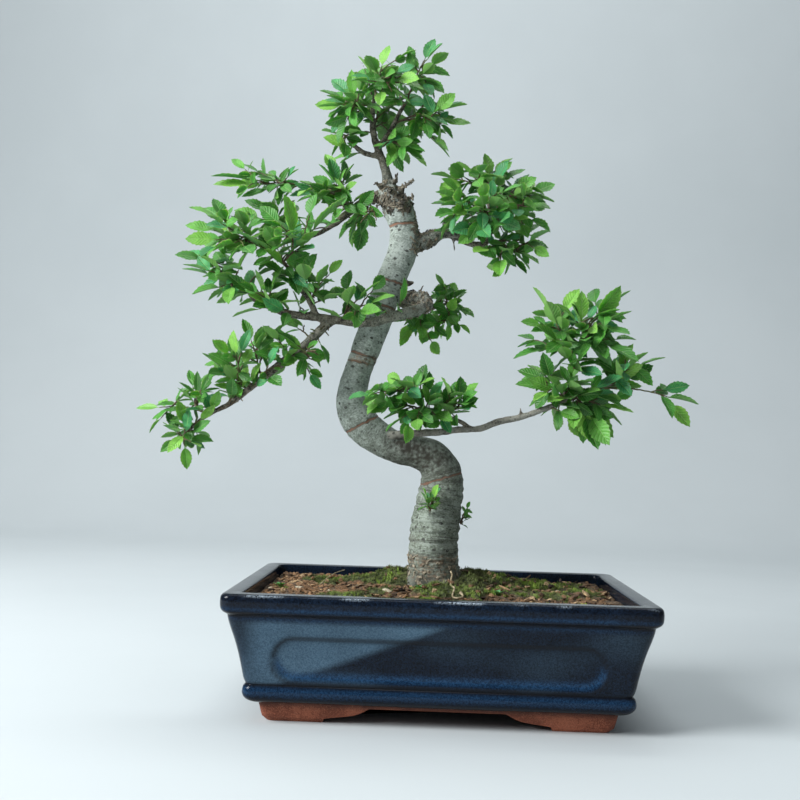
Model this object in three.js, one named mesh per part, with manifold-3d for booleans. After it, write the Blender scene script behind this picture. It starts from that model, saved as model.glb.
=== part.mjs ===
// Chinese elm bonsai in a glazed rectangular pot.
// Millimetres, +Z up, the front of the pot faces -Y. Measures below are from the middle of the
// pot's footprint; the whole group is then moved so that its box stands on the origin.

import * as THREE from 'three';
import { mergeVertices } from 'three/addons/utils/BufferGeometryUtils.js';
import Module from 'manifold-3d';

const wasm = await Module();
wasm.setup();

// Driving dimensions of the pot
const POT_WIDTH = 260;
const POT_DEPTH = 188;
const POT_HEIGHT = 78;
const RIM_CORNER_RADIUS = 7;
const LIP_WIDTH = 11.5;
const FLOOR_TOP = 16.5;
const BODY_UNDERSIDE = 12;
const CORNER_SEGMENTS = 3;

// Sunk panel with round ends on the front and the back of the pot
const PANEL_WIDTH = 196;
const PANEL_HEIGHT = 25;
const PANEL_MIDDLE = 39.7;
const PANEL_SUNK = 1.4;
const PANEL_END_SEGMENTS = 6;

// Four corner feet, left by arches cut through the clay plinth
const FOOT_LENGTH_X = 35;
const FOOT_LENGTH_Y = 28;
const FOOT_WALL = 16;
const ARCH_HEIGHT = 9.8;
const ARCH_STEP = 2.8;
const ARCH_LEDGE = 14;
const ARCH_LEDGE_HEIGHT = 4.6;
const ARCH_CURVE = 14;

// Drain holes in the floor and the mesh pads that lie over them
const DRAIN_HOLE_RADIUS = 7;
const DRAIN_HOLE_X = 62;
const DRAIN_PAD_SIZE = 26;
const DRAIN_PAD_THICKNESS = 1.2;
const DRAIN_SLOTS = 2;
const DRAIN_SLOT_SIZE = 5;

// Soil: its level at the wall, and the mound round the trunk
const SOIL_EDGE_LEVEL = 71;
const SOIL_MOUND_HEIGHT = 6;
const SOIL_MOUND_REACH = 58;
const SOIL_RINGS = 6;

// Leaves and shoots
const LEAF_LENGTH = 19;
const LEAF_WIDTH_RATIO = 0.5;
const LEAF_THICKNESS = 0.7;
const SHOOT_ROOT_RADIUS = 1;
const SHOOT_TIP_RADIUS = 0.5;
const SIDE_SHOOT_SHARE = 0.85;
const LEAF_ROOT = 1.2;
const LEAF_SPACING = 13;
// A leaf that would cross another piece is turned about its shoot, or left out if no turn is clear.
const LEAF_TURNS = [0, 0.5, -0.5];
const SEED = 2718;

// The gap kept between pieces that touch on the real plant
const CLEARANCE = 0.3;

const MATERIALS = {
  glaze: new THREE.MeshStandardMaterial({ color: 0x1c2f4a, roughness: 0.2, metalness: 0 }),
  bark: new THREE.MeshStandardMaterial({ color: 0x83827a, roughness: 0.85, metalness: 0 }),
  leaf: new THREE.MeshStandardMaterial({ color: 0x3f8a34, roughness: 0.5, metalness: 0 }),
  soil: new THREE.MeshStandardMaterial({ color: 0x5b4330, roughness: 0.95, metalness: 0 }),
  mesh_pad: new THREE.MeshStandardMaterial({ color: 0x20231f, roughness: 0.6, metalness: 0 }),
};

// The wood. Each limb is a list of waypoints [x, y, z, thickness] along its middle, root first.
const LIMBS = {
  trunk: {
    sides: 12, steps: 40, relief: barkRelief,
    waypoints: [
      [-4, 0, 56, 36], [-4, 0, 66, 36.4], [-4, 0, 77, 36], [-5, 0, 88, 33.6], [-5, 0, 102, 32.6],
      [-4, 1, 116, 33], [-2, 2, 129, 31], [0, 2, 141, 29.6], [-1, 2, 152, 27.6], [-8, 1, 161, 24.4],
      [-19, 0, 165, 21.4], [-32, -1, 167.5, 20.8], [-45, -2, 174, 22.4], [-56, -3, 183, 24],
      [-62, -3, 194, 22], [-62, -3, 206, 19.8], [-59, -3, 219, 18.8], [-55, -3, 231, 19.2],
      [-50, -3, 245, 20], [-45, -1, 260, 19.8], [-41, 0, 275, 19.6], [-35, 1, 290, 19.8],
      [-31, 2, 304, 20.3], [-32, 2, 318, 19.6], [-36, 2, 330, 20.4], [-41, 2, 340, 16], [-43, 2, 347, 10],
    ],
  },
  leader: {
    sides: 6, steps: 9,
    waypoints: [
      [-42, 2, 341, 10.8], [-44, 2, 353, 6.6], [-47, 2, 363, 5.8], [-51, 2, 372, 5.2],
      [-54, 1, 382, 4.7], [-55, 0, 391, 4], [-55, 0, 399, 3.4], [-54, 0, 406, 2.7],
    ],
  },
  crown_right: {
    sides: 5, steps: 5,
    waypoints: [
      [-51, 2, 371, 4.2], [-46, 0, 378, 3.7], [-40, -1, 388, 3.4], [-36, -1, 397, 3], [-32, -1, 404, 2.4],
    ],
  },
  crown_left: {
    sides: 5, steps: 3,
    waypoints: [[-49, 2, 366, 4.2], [-60, 0, 368, 3.5], [-67, -1, 373, 3], [-72, -1, 379, 2.4]],
  },
  upper_right: {
    sides: 7, steps: 12,
    waypoints: [
      [-32, 2, 303, 14], [-22, 4, 307, 12.8], [-13, 6, 311, 10.4], [-6, 8, 315, 8], [2, 9, 315, 5.8],
      [10, 9, 311, 4.9], [18, 7, 308, 4.4], [25, 5, 309, 4.1], [28, 3, 317, 3.7], [27, 1, 327, 3],
      [26, 0, 336, 2.4],
    ],
  },
  front: {
    sides: 7, steps: 19,
    waypoints: [
      [-36, 1, 270, 8], [-25, -1, 269, 8.8], [-17, -5, 268, 8.8], [-14, -12, 263, 8.4], [-20, -18, 258, 7.9],
      [-29, -22, 255, 7.2], [-38, -23, 252, 6.6], [-48, -23, 249, 6.4], [-59, -23, 248, 5.9],
      [-70, -24, 249, 5.6], [-80, -25, 250, 5.8], [-91, -26, 251, 5.5], [-103, -27, 252, 5.1],
      [-116, -28, 256, 4.4],
      [-124, -29, 259, 3.6], [-129, -30, 263, 2.9], [-131, -30, 269, 2.4],
    ],
  },
  front_up: {
    sides: 5, steps: 6,
    waypoints: [
      [-85, -26, 250, 4.5], [-90, -27, 260, 3.9], [-96, -28, 268, 3.6], [-102, -29, 276, 3.2],
      [-106, -30, 283, 2.9], [-111, -30, 288, 2.6], [-117, -31, 293, 2.2],
    ],
  },
  lower_left: {
    sides: 6, steps: 12,
    waypoints: [
      [-75, -24, 249, 5.5], [-82, -26, 243, 6.2], [-90, -27, 234, 6.5], [-100, -28, 225, 6.1],
      [-110, -29, 217, 5.5], [-120, -29, 209, 4.8], [-129, -29, 201, 4.2], [-140, -29, 192, 3.6],
      [-153, -29, 185, 3], [-162, -29, 178, 2.5], [-170, -29, 170, 2.1],
    ],
  },
  upper_left: {
    sides: 6, steps: 8,
    waypoints: [
      [-36, 2, 335, 9.5], [-47, 6, 339, 7.5], [-56, 9, 338, 6.5], [-64, 11, 334, 5.9], [-71, 13, 329, 5.5],
      [-80, 15, 322, 4.5], [-90, 17, 316, 3.5], [-101, 18, 311, 2.4],
    ],
  },
  upper_left_back: {
    sides: 5, steps: 3,
    waypoints: [[-67, 12, 333, 3.8], [-76, 15, 339, 3.1], [-89, 18, 346, 2.5], [-102, 20, 349, 2.1]],
  },
  right: {
    sides: 6, steps: 15,
    waypoints: [
      [-51, -4, 171, 7], [-41, -8, 173, 6], [-29, -11, 176, 5.1], [-16, -14, 177, 5], [-3, -16, 178, 4.7],
      [10, -18, 180, 4.4], [23, -19, 181, 4.3], [36, -20, 186, 4.6], [49, -20, 189, 4.2], [62, -20, 194, 3.9],
      [75, -19, 199, 3.9], [86, -17, 204, 3.3], [98, -16, 209, 3], [109, -15, 213, 2.4],
    ],
  },
  right_up: {
    sides: 5, steps: 6,
    waypoints: [
      [75, -19, 199, 3.4], [79, -18, 207, 3], [82, -17, 218, 2.7], [83, -16, 228, 2.6], [86, -15, 237, 2.3],
      [90, -15, 244, 2],
    ],
  },
  back_right: {
    sides: 5, steps: 4,
    waypoints: [
      [-35, 4, 268, 6], [-26, 12, 264, 5], [-16, 20, 264, 4.4], [-8, 27, 267, 3.5], [-1, 32, 270, 2.7],
    ],
  },
  low_centre: {
    sides: 5, steps: 5,
    waypoints: [
      [19, -18, 180, 3.4], [10, -22, 185, 2.9], [1, -25, 188, 2.7], [-8, -28, 189, 2.6], [-14, -30, 194, 2.3],
      [-17, -31, 200, 2],
    ],
  },
};

// Dead stubs and flakes: where each one leaves the wood, where it ends, and its thickness there.
const STUBS = [
  { from: [-40, 2, 338], to: [-26, -3, 349], thickness: 4.5 },
  { from: [-40, 2, 334], to: [-25, -5, 337], thickness: 4 },
  { from: [-38, 2, 330], to: [-24, 4, 330], thickness: 3.6 },
  { from: [-42, 2, 340], to: [-52, -7, 346], thickness: 4.4 },
  { from: [-41, 2, 336], to: [-41, -13, 341], thickness: 4.6 },
  { from: [-38, 2, 333], to: [-31, -13, 331], thickness: 4 },
  { from: [-41, 2, 342], to: [-36, -3, 355], thickness: 3.8 },
  { from: [-40, 2, 337], to: [-34, 14, 345], thickness: 4.4 },
  { from: [-40, 2, 333], to: [-50, -6, 330], thickness: 3.8 },
  { from: [-32, 2, 277], to: [-17, -3, 281], thickness: 5 },
  { from: [-5, 8, 315], to: [-4, 6, 327], thickness: 3.2 },
  { from: [1, 9, 315], to: [4, 10, 304], thickness: 3.4 },
  { from: [49, -20, 189], to: [49, -21, 196], thickness: 2.4 },
];

// Leafy sprays. Each one leaves a limb at one of its waypoints (at), and each of its shoots ends in
// a leaf whose point is given in tips, the main shoot first.
const SPRAYS = [
  {
    name: 'crown_top', limb: 'leader', at: 7,
    tips: [[-47, 5, 447], [-57, -14, 430], [-71, -10, 421], [-41, -30, 415]],
  },
  { name: 'crown_peak', limb: 'crown_right', at: 4, tips: [[-14, 0, 450], [-31, -4, 442], [-6, 8, 442]] },
  { name: 'crown_right', limb: 'crown_right', at: 2, tips: [[9, 4, 406], [12, -8, 388], [0, 2, 369]] },
  {
    name: 'crown_left', limb: 'leader', at: 5,
    tips: [[-84, 6, 423], [-90, -6, 411], [-95, 2, 403], [-73, -34, 390]],
  },
  {
    name: 'crown_low_left', limb: 'crown_left', at: 3,
    tips: [[-91, 4, 385], [-83, -2, 365], [-71, -20, 360]],
  },
  { name: 'crown_low', limb: 'crown_right', at: 1, tips: [[-32, -4, 356], [-19, -10, 363]] },
  { name: 'crown_back', limb: 'leader', at: 4, tips: [[-50, 40, 426], [-29, 40, 405], [-74, 38, 409]] },
  {
    name: 'upper_left_tip', limb: 'upper_left', at: 7,
    tips: [[-151, 20, 333], [-138, 8, 310], [-135, 38, 343]],
  },
  {
    name: 'upper_left_top', limb: 'upper_left_back', at: 3,
    tips: [[-170, 24, 360], [-168, 12, 345], [-145, 42, 361]],
  },
  { name: 'upper_left_collar', limb: 'upper_left_back', at: 1, tips: [[-86, 14, 368], [-73, 26, 370]] },
  {
    name: 'upper_left_hanging', limb: 'upper_left', at: 2,
    tips: [[-63, 14, 303], [-44, -16, 307], [-79, 28, 315]],
  },
  {
    name: 'left_far', limb: 'front_up', at: 6,
    tips: [[-173, -30, 311], [-171, -40, 299], [-166, -16, 325], [-150, -56, 290]],
  },
  {
    name: 'left_middle', limb: 'front_up', at: 4,
    tips: [[-137, -46, 304], [-84, -42, 305], [-101, -34, 325]],
  },
  {
    name: 'left_low', limb: 'front', at: 16,
    tips: [[-175, -28, 282], [-166, -38, 264], [-175, -12, 297], [-141, -52, 256]],
  },
  {
    name: 'left_under', limb: 'front', at: 13,
    tips: [[-142, -26, 252], [-117, -60, 265], [-139, -4, 284]],
  },
  { name: 'left_near', limb: 'front_up', at: 1, tips: [[-77, -48, 283], [-93, -62, 280]] },
  { name: 'trunk_front', limb: 'front', at: 9, tips: [[-47, -36, 276], [-35, -38, 267]] },
  {
    name: 'lower_left_tip', limb: 'lower_left', at: 10,
    tips: [[-165, -28, 149], [-183, -36, 161], [-186, -20, 180]],
  },
  {
    name: 'lower_left_far', limb: 'lower_left', at: 8,
    tips: [[-203, -22, 190], [-171, -42, 202], [-171, -10, 216]],
  },
  {
    name: 'lower_left_middle', limb: 'lower_left', at: 6,
    tips: [[-157, -36, 225], [-155, -14, 236], [-137, -48, 237]],
  },
  {
    name: 'lower_left_inner', limb: 'lower_left', at: 5,
    tips: [[-133, -24, 249], [-104, -48, 205], [-119, -6, 237]],
  },
  { name: 'lower_left_near', limb: 'lower_left', at: 3, tips: [[-71, -38, 218], [-85, -10, 212]] },
  {
    name: 'upper_right_top', limb: 'upper_right', at: 10,
    tips: [[25, 2, 371], [38, -10, 362], [5, -16, 360], [-13, 4, 358]],
  },
  {
    name: 'upper_right_left', limb: 'upper_right', at: 9,
    tips: [[-9, -18, 340], [-13, 10, 339], [-9, -26, 321]],
  },
  {
    name: 'upper_right_far', limb: 'upper_right', at: 9,
    tips: [[56, -8, 353], [71, 6, 352], [65, -22, 329], [69, -2, 318]],
  },
  {
    name: 'upper_right_low', limb: 'upper_right', at: 7,
    tips: [[68, 6, 309], [60, -14, 294], [52, -4, 287]],
  },
  {
    name: 'upper_right_back', limb: 'upper_right', at: 8,
    tips: [[39, 38, 358], [55, 38, 337], [11, 34, 348]],
  },
  {
    name: 'upper_right_front', limb: 'upper_right', at: 8,
    tips: [[18, -38, 331], [38, -40, 318], [3, -24, 310]],
  },
  {
    name: 'middle_right_tip', limb: 'back_right', at: 4,
    tips: [[6, 40, 287], [20, 30, 262], [2, 32, 244]],
  },
  { name: 'middle_right_low', limb: 'back_right', at: 2, tips: [[-16, 22, 240], [-32, 16, 238]] },
  {
    name: 'low_centre_top', limb: 'low_centre', at: 5,
    tips: [[-15, -28, 222], [-34, -44, 212], [-62, -44, 199]],
  },
  { name: 'low_centre_right', limb: 'low_centre', at: 2, tips: [[20, -22, 212], [21, -36, 199]] },
  {
    name: 'low_centre_left', limb: 'low_centre', at: 4,
    tips: [[-38, -46, 179], [-19, -56, 178], [-52, -26, 196]],
  },
  {
    name: 'right_top', limb: 'right_up', at: 5,
    tips: [[87, -16, 274], [119, -14, 277], [118, -32, 260], [107, 6, 264]],
  },
  {
    name: 'right_left', limb: 'right_up', at: 3,
    tips: [[59, -8, 278], [59, -32, 248], [44, -14, 231], [75, 12, 259]],
  },
  { name: 'right_middle', limb: 'right_up', at: 1, tips: [[46, -26, 212], [55, -8, 199], [57, 8, 228]] },
  { name: 'right_tip', limb: 'right', at: 13, tips: [[137, -16, 224], [128, -36, 234], [124, 4, 241]] },
  {
    name: 'right_long', limb: 'right', at: 12, bare: 0.6,
    tips: [[170, -8, 205], [160, -20, 214], [163, -10, 186]],
  },
  {
    name: 'right_low', limb: 'right', at: 11,
    tips: [[96, -20, 175], [109, -8, 174], [82, -36, 183], [121, -30, 195]],
  },
  { name: 'right_under', limb: 'right', at: 10, tips: [[73, -6, 182], [62, -46, 194], [90, -44, 226]] },
  {
    name: 'trunk_sprout', limb: 'trunk', at: 6, leaf: 10,
    tips: [[-6, -24, 141], [-19, -22, 140], [-12, -24, 125]],
  },
  { name: 'trunk_sprout_right', limb: 'trunk', at: 6, leaf: 6, tips: [[19, -2, 122]] },
];

// Small tools

// A seeded draw between 0 and 1, the same on every run.
function randomSource(seed) {
  let state = seed >>> 0;
  return () => {
    state = (Math.imul(state, 1664525) + 1013904223) >>> 0;
    return state / 4294967296;
  };
}

function vector(point) {
  return new THREE.Vector3(point[0], point[1], point[2]);
}

// Joins rings of equal count into a closed body, each end closed by a fan on its middle.
function loft(rings) {
  const count = rings[0].length;
  const positions = rings.flat().flatMap((p) => [p.x, p.y, p.z]);
  const index = [];
  for (let r = 0; r + 1 < rings.length; r += 1) {
    for (let i = 0; i < count; i += 1) {
      const a = r * count + i;
      const b = r * count + ((i + 1) % count);
      index.push(a, b, b + count, a, b + count, a + count);
    }
  }
  const lastStart = (rings.length - 1) * count;
  for (const [ring, start, turned] of [[rings[0], 0, true], [rings.at(-1), lastStart, false]]) {
    const middle = ring.reduce((sum, p) => sum.add(p), new THREE.Vector3()).divideScalar(count);
    const apex = positions.length / 3;
    positions.push(middle.x, middle.y, middle.z);
    for (let i = 0; i < count; i += 1) {
      const a = start + i;
      const b = start + ((i + 1) % count);
      index.push(...(turned ? [b, a, apex] : [a, b, apex]));
    }
  }
  return closedGeometry(positions, index);
}

// Six times the volume inside a mesh, negative when its faces point inwards.
function signedVolume(positions, index) {
  const corners = [0, 1, 2].map(() => new THREE.Vector3());
  let total = 0;
  for (let i = 0; i < index.length; i += 3) {
    corners.forEach((corner, k) => corner.fromArray(positions, 3 * index[i + k]));
    total += corners[0].dot(corners[1].clone().cross(corners[2]));
  }
  return total;
}

function closedGeometry(positions, index) {
  const outward = signedVolume(positions, index) > 0;
  const geometry = new THREE.BufferGeometry();
  geometry.setAttribute('position', new THREE.Float32BufferAttribute(positions, 3));
  geometry.setIndex(outward ? index : index.toReversed());
  return geometry;
}

// From a three.js geometry to a solid that can be cut and joined, and back.
function solidOf(geometry) {
  const bare = geometry.clone();
  bare.deleteAttribute('normal');
  bare.deleteAttribute('uv');
  const merged = mergeVertices(bare, 1e-4);
  return new wasm.Manifold(new wasm.Mesh({
    numProp: 3,
    vertProperties: new Float32Array(merged.getAttribute('position').array),
    triVerts: new Uint32Array(merged.getIndex().array),
  }));
}

function geometryOf(solid) {
  const mesh = solid.getMesh();
  const geometry = new THREE.BufferGeometry();
  geometry.setAttribute('position', new THREE.BufferAttribute(new Float32Array(mesh.vertProperties), 3));
  geometry.setIndex(new THREE.BufferAttribute(new Uint32Array(mesh.triVerts), 1));
  geometry.computeVertexNormals();
  return geometry;
}

function join(solids) {
  return solids.reduce((sum, next) => sum.add(next));
}

// The largest body of a solid, without the loose scraps that a cut can leave.
function mainBody(solid) {
  const bodies = solid.decompose();
  return bodies.reduce((best, body) => (body.volume() > best.volume() ? body : best));
}

function overlaps(a, b) {
  return !a.intersect(b).isEmpty();
}

function boxSolid(sizeX, sizeY, sizeZ, x, y, z) {
  return solidOf(new THREE.BoxGeometry(sizeX, sizeY, sizeZ).translate(x, y, z));
}

// The pot

// One ring of a rectangle with round corners, in a level plane.
function roundedRing(halfX, halfY, radius, z) {
  const ring = [];
  for (let corner = 0; corner < 4; corner += 1) {
    const signX = corner === 0 || corner === 3 ? 1 : -1;
    const signY = corner < 2 ? 1 : -1;
    for (let i = 0; i <= CORNER_SEGMENTS; i += 1) {
      const angle = (corner + i / CORNER_SEGMENTS) * (Math.PI / 2);
      ring.push(new THREE.Vector3(
        signX * (halfX - radius) + radius * Math.cos(angle),
        signY * (halfY - radius) + radius * Math.sin(angle),
        z,
      ));
    }
  }
  return ring;
}

// A body whose wall follows a profile of [inset from the rim, height].
function potLoft(profile, extraInset = 0) {
  return solidOf(loft(profile.map(([inset, z]) => {
    const full = inset + extraInset;
    return roundedRing(POT_WIDTH / 2 - full, POT_DEPTH / 2 - full, RIM_CORNER_RADIUS, z);
  })));
}

const RIM_PROFILE = [
  [3.6, 65.4], [2.2, 67.3], [0.6, 68.8], [0, 71], [0, 74.2], [0.5, 76.6], [1.8, POT_HEIGHT],
];
const WALL_PROFILE = [
  [13.9, 23.8], [13.3, 27], [11.9, 34], [10.2, 42], [8.1, 50], [5.9, 57], [4.5, 62],
];
const BEAD_PROFILE = [
  [22, BODY_UNDERSIDE], [17.6, 12.8], [14.6, 14.8], [13.1, 17.6], [12.9, 20.2], [13.4, 22.3],
];
const CAVITY_PROFILE = [
  [26, FLOOR_TOP], [22.5, 21], [18.5, 36], [15.5, 52], [12.3, 67], [LIP_WIDTH, POT_HEIGHT + 1],
];
const PLINTH_PROFILE = [[26.2, 0], [23.8, 2.6], [21.4, BODY_UNDERSIDE + 1]];

// The outline of an arch between two feet, from one side to the other, a bracket at each end.
function archPrism(openWidth, length) {
  const half = openWidth / 2;
  const shape = new THREE.Shape();
  shape.moveTo(-half, -1);
  shape.lineTo(-half, 0.3);
  for (const side of [-1, 1]) {
    const edge = (distance) => side * (half - distance);
    const points = [
      [edge(1), ARCH_STEP],
      [edge(ARCH_LEDGE), ARCH_LEDGE_HEIGHT],
      [edge(ARCH_LEDGE + ARCH_CURVE * 0.55), ARCH_LEDGE_HEIGHT + 1.6],
      [edge(ARCH_LEDGE + ARCH_CURVE), ARCH_HEIGHT],
    ];
    for (const [x, z] of side < 0 ? points : points.toReversed()) shape.lineTo(x, z);
  }
  shape.lineTo(half, 0.3);
  shape.lineTo(half, -1);
  const prism = new THREE.ExtrudeGeometry(shape, { depth: length, bevelEnabled: false });
  return prism.translate(0, 0, -length / 2).rotateX(Math.PI / 2);
}

function plinth() {
  const top = BODY_UNDERSIDE + 1;
  const halfX = POT_WIDTH / 2 - PLINTH_PROFILE[0][0];
  const halfY = POT_DEPTH / 2 - PLINTH_PROFILE[0][0];
  const reach = POT_WIDTH * 2;
  const hollowX = 2 * (halfX - FOOT_WALL);
  const hollowY = 2 * (halfY - FOOT_WALL);
  const block = potLoft(PLINTH_PROFILE);
  const frontArch = solidOf(archPrism(2 * (halfX - FOOT_LENGTH_X), reach));
  const sideArch = solidOf(archPrism(2 * (halfY - FOOT_LENGTH_Y), reach).rotateZ(Math.PI / 2));
  const hollow = boxSolid(hollowX, hollowY, ARCH_HEIGHT + top, 0, 0, (ARCH_HEIGHT - top) / 2);
  return block.subtract(frontArch).subtract(sideArch).subtract(hollow);
}

// A prism with round ends through the front and the back wall.
function panelPrism() {
  const radius = PANEL_HEIGHT / 2;
  const straight = PANEL_WIDTH / 2 - radius;
  const shape = new THREE.Shape();
  shape.absarc(straight, 0, radius, -Math.PI / 2, Math.PI / 2, false);
  shape.absarc(-straight, 0, radius, Math.PI / 2, Math.PI * 1.5, false);
  const length = POT_DEPTH * 1.5;
  const prism = new THREE.ExtrudeGeometry(shape, {
    depth: length, bevelEnabled: false, curveSegments: PANEL_END_SEGMENTS,
  });
  return solidOf(prism.translate(0, 0, -length / 2).rotateX(Math.PI / 2).translate(0, 0, PANEL_MIDDLE));
}

function drainHole(x) {
  const depth = FLOOR_TOP * 2;
  const hole = new THREE.CylinderGeometry(DRAIN_HOLE_RADIUS, DRAIN_HOLE_RADIUS, depth, 12);
  return solidOf(hole.rotateX(Math.PI / 2).translate(x, 0, FLOOR_TOP / 2));
}

function pot() {
  const outer = [...BEAD_PROFILE, ...WALL_PROFILE, ...RIM_PROFILE];
  const panels = panelPrism().subtract(potLoft(outer, PANEL_SUNK));
  return potLoft(outer)
    .add(plinth())
    .subtract(potLoft(CAVITY_PROFILE))
    .subtract(panels)
    .subtract(drainHole(-DRAIN_HOLE_X))
    .subtract(drainHole(DRAIN_HOLE_X));
}

// A square plastic mesh pad with a grid of slots.
function drainPad(x) {
  const z = FLOOR_TOP + CLEARANCE + DRAIN_PAD_THICKNESS / 2;
  const pitch = DRAIN_PAD_SIZE / (DRAIN_SLOTS + 0.5);
  const places = Array.from({ length: DRAIN_SLOTS }, (_, i) => (i - (DRAIN_SLOTS - 1) / 2) * pitch);
  const slots = places.flatMap((dx) => places.map((dy) => (
    boxSolid(DRAIN_SLOT_SIZE, DRAIN_SLOT_SIZE, DRAIN_PAD_THICKNESS * 3, x + dx, dy, z)
  )));
  const plate = boxSolid(DRAIN_PAD_SIZE, DRAIN_PAD_SIZE, DRAIN_PAD_THICKNESS, x, 0, z);
  return slots.reduce((rest, slot) => rest.subtract(slot), plate);
}

// The soil

// Height of the soil above the ground plane: level at the wall, mounded round the trunk, uneven.
function soilHeight(x, y) {
  const [trunkX, trunkY] = LIMBS.trunk.waypoints[2];
  const distance = Math.hypot(x - trunkX, (y - trunkY) * 1.15);
  const mound = SOIL_MOUND_HEIGHT * Math.exp(-((distance / SOIL_MOUND_REACH) ** 2));
  const uneven = 0.7 * Math.sin(x * 0.09 + 1) * Math.cos(y * 0.12) + 0.4 * Math.sin(x * 0.21 + y * 0.17);
  return SOIL_EDGE_LEVEL + mound + uneven;
}

// The cavity's inset at a height, read along its profile.
function cavityInset(z) {
  const next = CAVITY_PROFILE.findIndex(([, height]) => height > z);
  const [lowInset, lowZ] = CAVITY_PROFILE[next - 1];
  const [highInset, highZ] = CAVITY_PROFILE[next];
  return THREE.MathUtils.mapLinear(z, lowZ, highZ, lowInset, highInset);
}

function soil(woodRoom, pads) {
  const wallGap = 1.3 * CLEARANCE;
  const levels = [FLOOR_TOP + CLEARANCE, CAVITY_PROFILE[1][1], CAVITY_PROFILE[3][1], SOIL_EDGE_LEVEL - 1];
  const side = levels.map((z) => {
    const inset = cavityInset(z) + wallGap;
    return roundedRing(POT_WIDTH / 2 - inset, POT_DEPTH / 2 - inset, RIM_CORNER_RADIUS - wallGap, z);
  });
  const edge = side.at(-1);
  const top = [];
  for (let k = 0; k < SOIL_RINGS; k += 1) {
    const share = 1 - k / SOIL_RINGS;
    top.push(edge.map((p) => {
      const x = p.x * share;
      const y = p.y * share;
      return new THREE.Vector3(x, y, soilHeight(x, y));
    }));
  }
  const body = solidOf(loft([...side, ...top]));
  const pockets = pads.map((x) => boxSolid(
    DRAIN_PAD_SIZE + 2 * CLEARANCE, DRAIN_PAD_SIZE + 2 * CLEARANCE, DRAIN_PAD_THICKNESS * 2 + 2 * CLEARANCE,
    x, 0, FLOOR_TOP + CLEARANCE,
  ));
  return mainBody(pockets.reduce((rest, pocket) => rest.subtract(pocket), body.subtract(woodRoom)));
}

// The wood

// Low rings where the stem was pruned and wired, as [height, swell], and lobes at the root flare.
const BARK_RINGS = [[152, 0.05], [184, 0.05], [226, -0.04], [276, 0.05], [312, 0.04]];
const BARK_RING_REACH = 3;
const FLARE_HEIGHT = 76;
const FLARE_REACH = 9;
const FLARE_SWELL = 0.09;
const FLARE_LOBES = 5;

// How far the bark stands out at a place, as a share of the radius there.
function barkRelief(share, angle, height) {
  const near = (level, reach) => Math.exp(-(((height - level) / reach) ** 2));
  const flutes = 0.035 * Math.sin(2 * angle + 5 * share) + 0.025 * Math.sin(3 * angle - 9 * share);
  const rings = BARK_RINGS.reduce((sum, [level, swell]) => sum + swell * near(level, BARK_RING_REACH), 0);
  const lobes = FLARE_SWELL * (1 + Math.cos(FLARE_LOBES * angle + 0.6));
  return flutes + rings + lobes * near(FLARE_HEIGHT, FLARE_REACH);
}

// A round limb along smooth waypoints, its thickness read between them.
function limb({ waypoints, sides, steps, relief }, grow = 0) {
  const middle = new THREE.CatmullRomCurve3(waypoints.map(vector), false, 'catmullrom', 0.5);
  const across = new THREE.Vector3(1, 0.2, 0.1);
  const rings = [];
  for (let step = 0; step <= steps; step += 1) {
    const share = step / steps;
    const centre = middle.getPoint(share);
    const tangent = middle.getTangent(share);
    if (step === 0) centre.addScaledVector(tangent, -grow);
    if (step === steps) centre.addScaledVector(tangent, grow);
    across.addScaledVector(tangent, -across.dot(tangent)).normalize();
    const other = tangent.clone().cross(across);
    const place = share * (waypoints.length - 1);
    const from = Math.min(Math.floor(place), waypoints.length - 2);
    const thickness = THREE.MathUtils.lerp(waypoints[from][3], waypoints[from + 1][3], place - from);
    rings.push(Array.from({ length: sides }, (_, i) => {
      const angle = (i / sides) * Math.PI * 2;
      const swell = relief ? relief(share, angle, centre.z) : 0;
      const radius = (thickness / 2) * (1 + swell) + grow;
      return centre.clone()
        .addScaledVector(across, radius * Math.cos(angle))
        .addScaledVector(other, radius * Math.sin(angle));
    }));
  }
  return solidOf(loft(rings));
}

// A dead stub: a short spike that tapers to a blunt end.
function stub({ from, to, thickness }, grow = 0) {
  const waypoints = [0, 0.5, 1].map((share) => {
    const point = vector(from).lerp(vector(to), share);
    return [point.x, point.y, point.z, thickness * (1 - 0.75 * share)];
  });
  return limb({ waypoints, sides: 4, steps: 2 }, grow);
}

function wood(grow = 0) {
  const limbs = Object.values(LIMBS).map((each) => limb(each, grow));
  const stubs = STUBS.map((each) => stub(each, grow));
  return join([...limbs, ...stubs]);
}

// The leaves

// Half of a leaf's edge where it is broad, as [share of its length, share of its half width], and
// the share of its length where its midrib dips deepest.
const LEAF_LOW = [0.34, 0.92];
const LEAF_HIGH = [0.68, 0.84];
const LEAF_DIP = 0.52;

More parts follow.
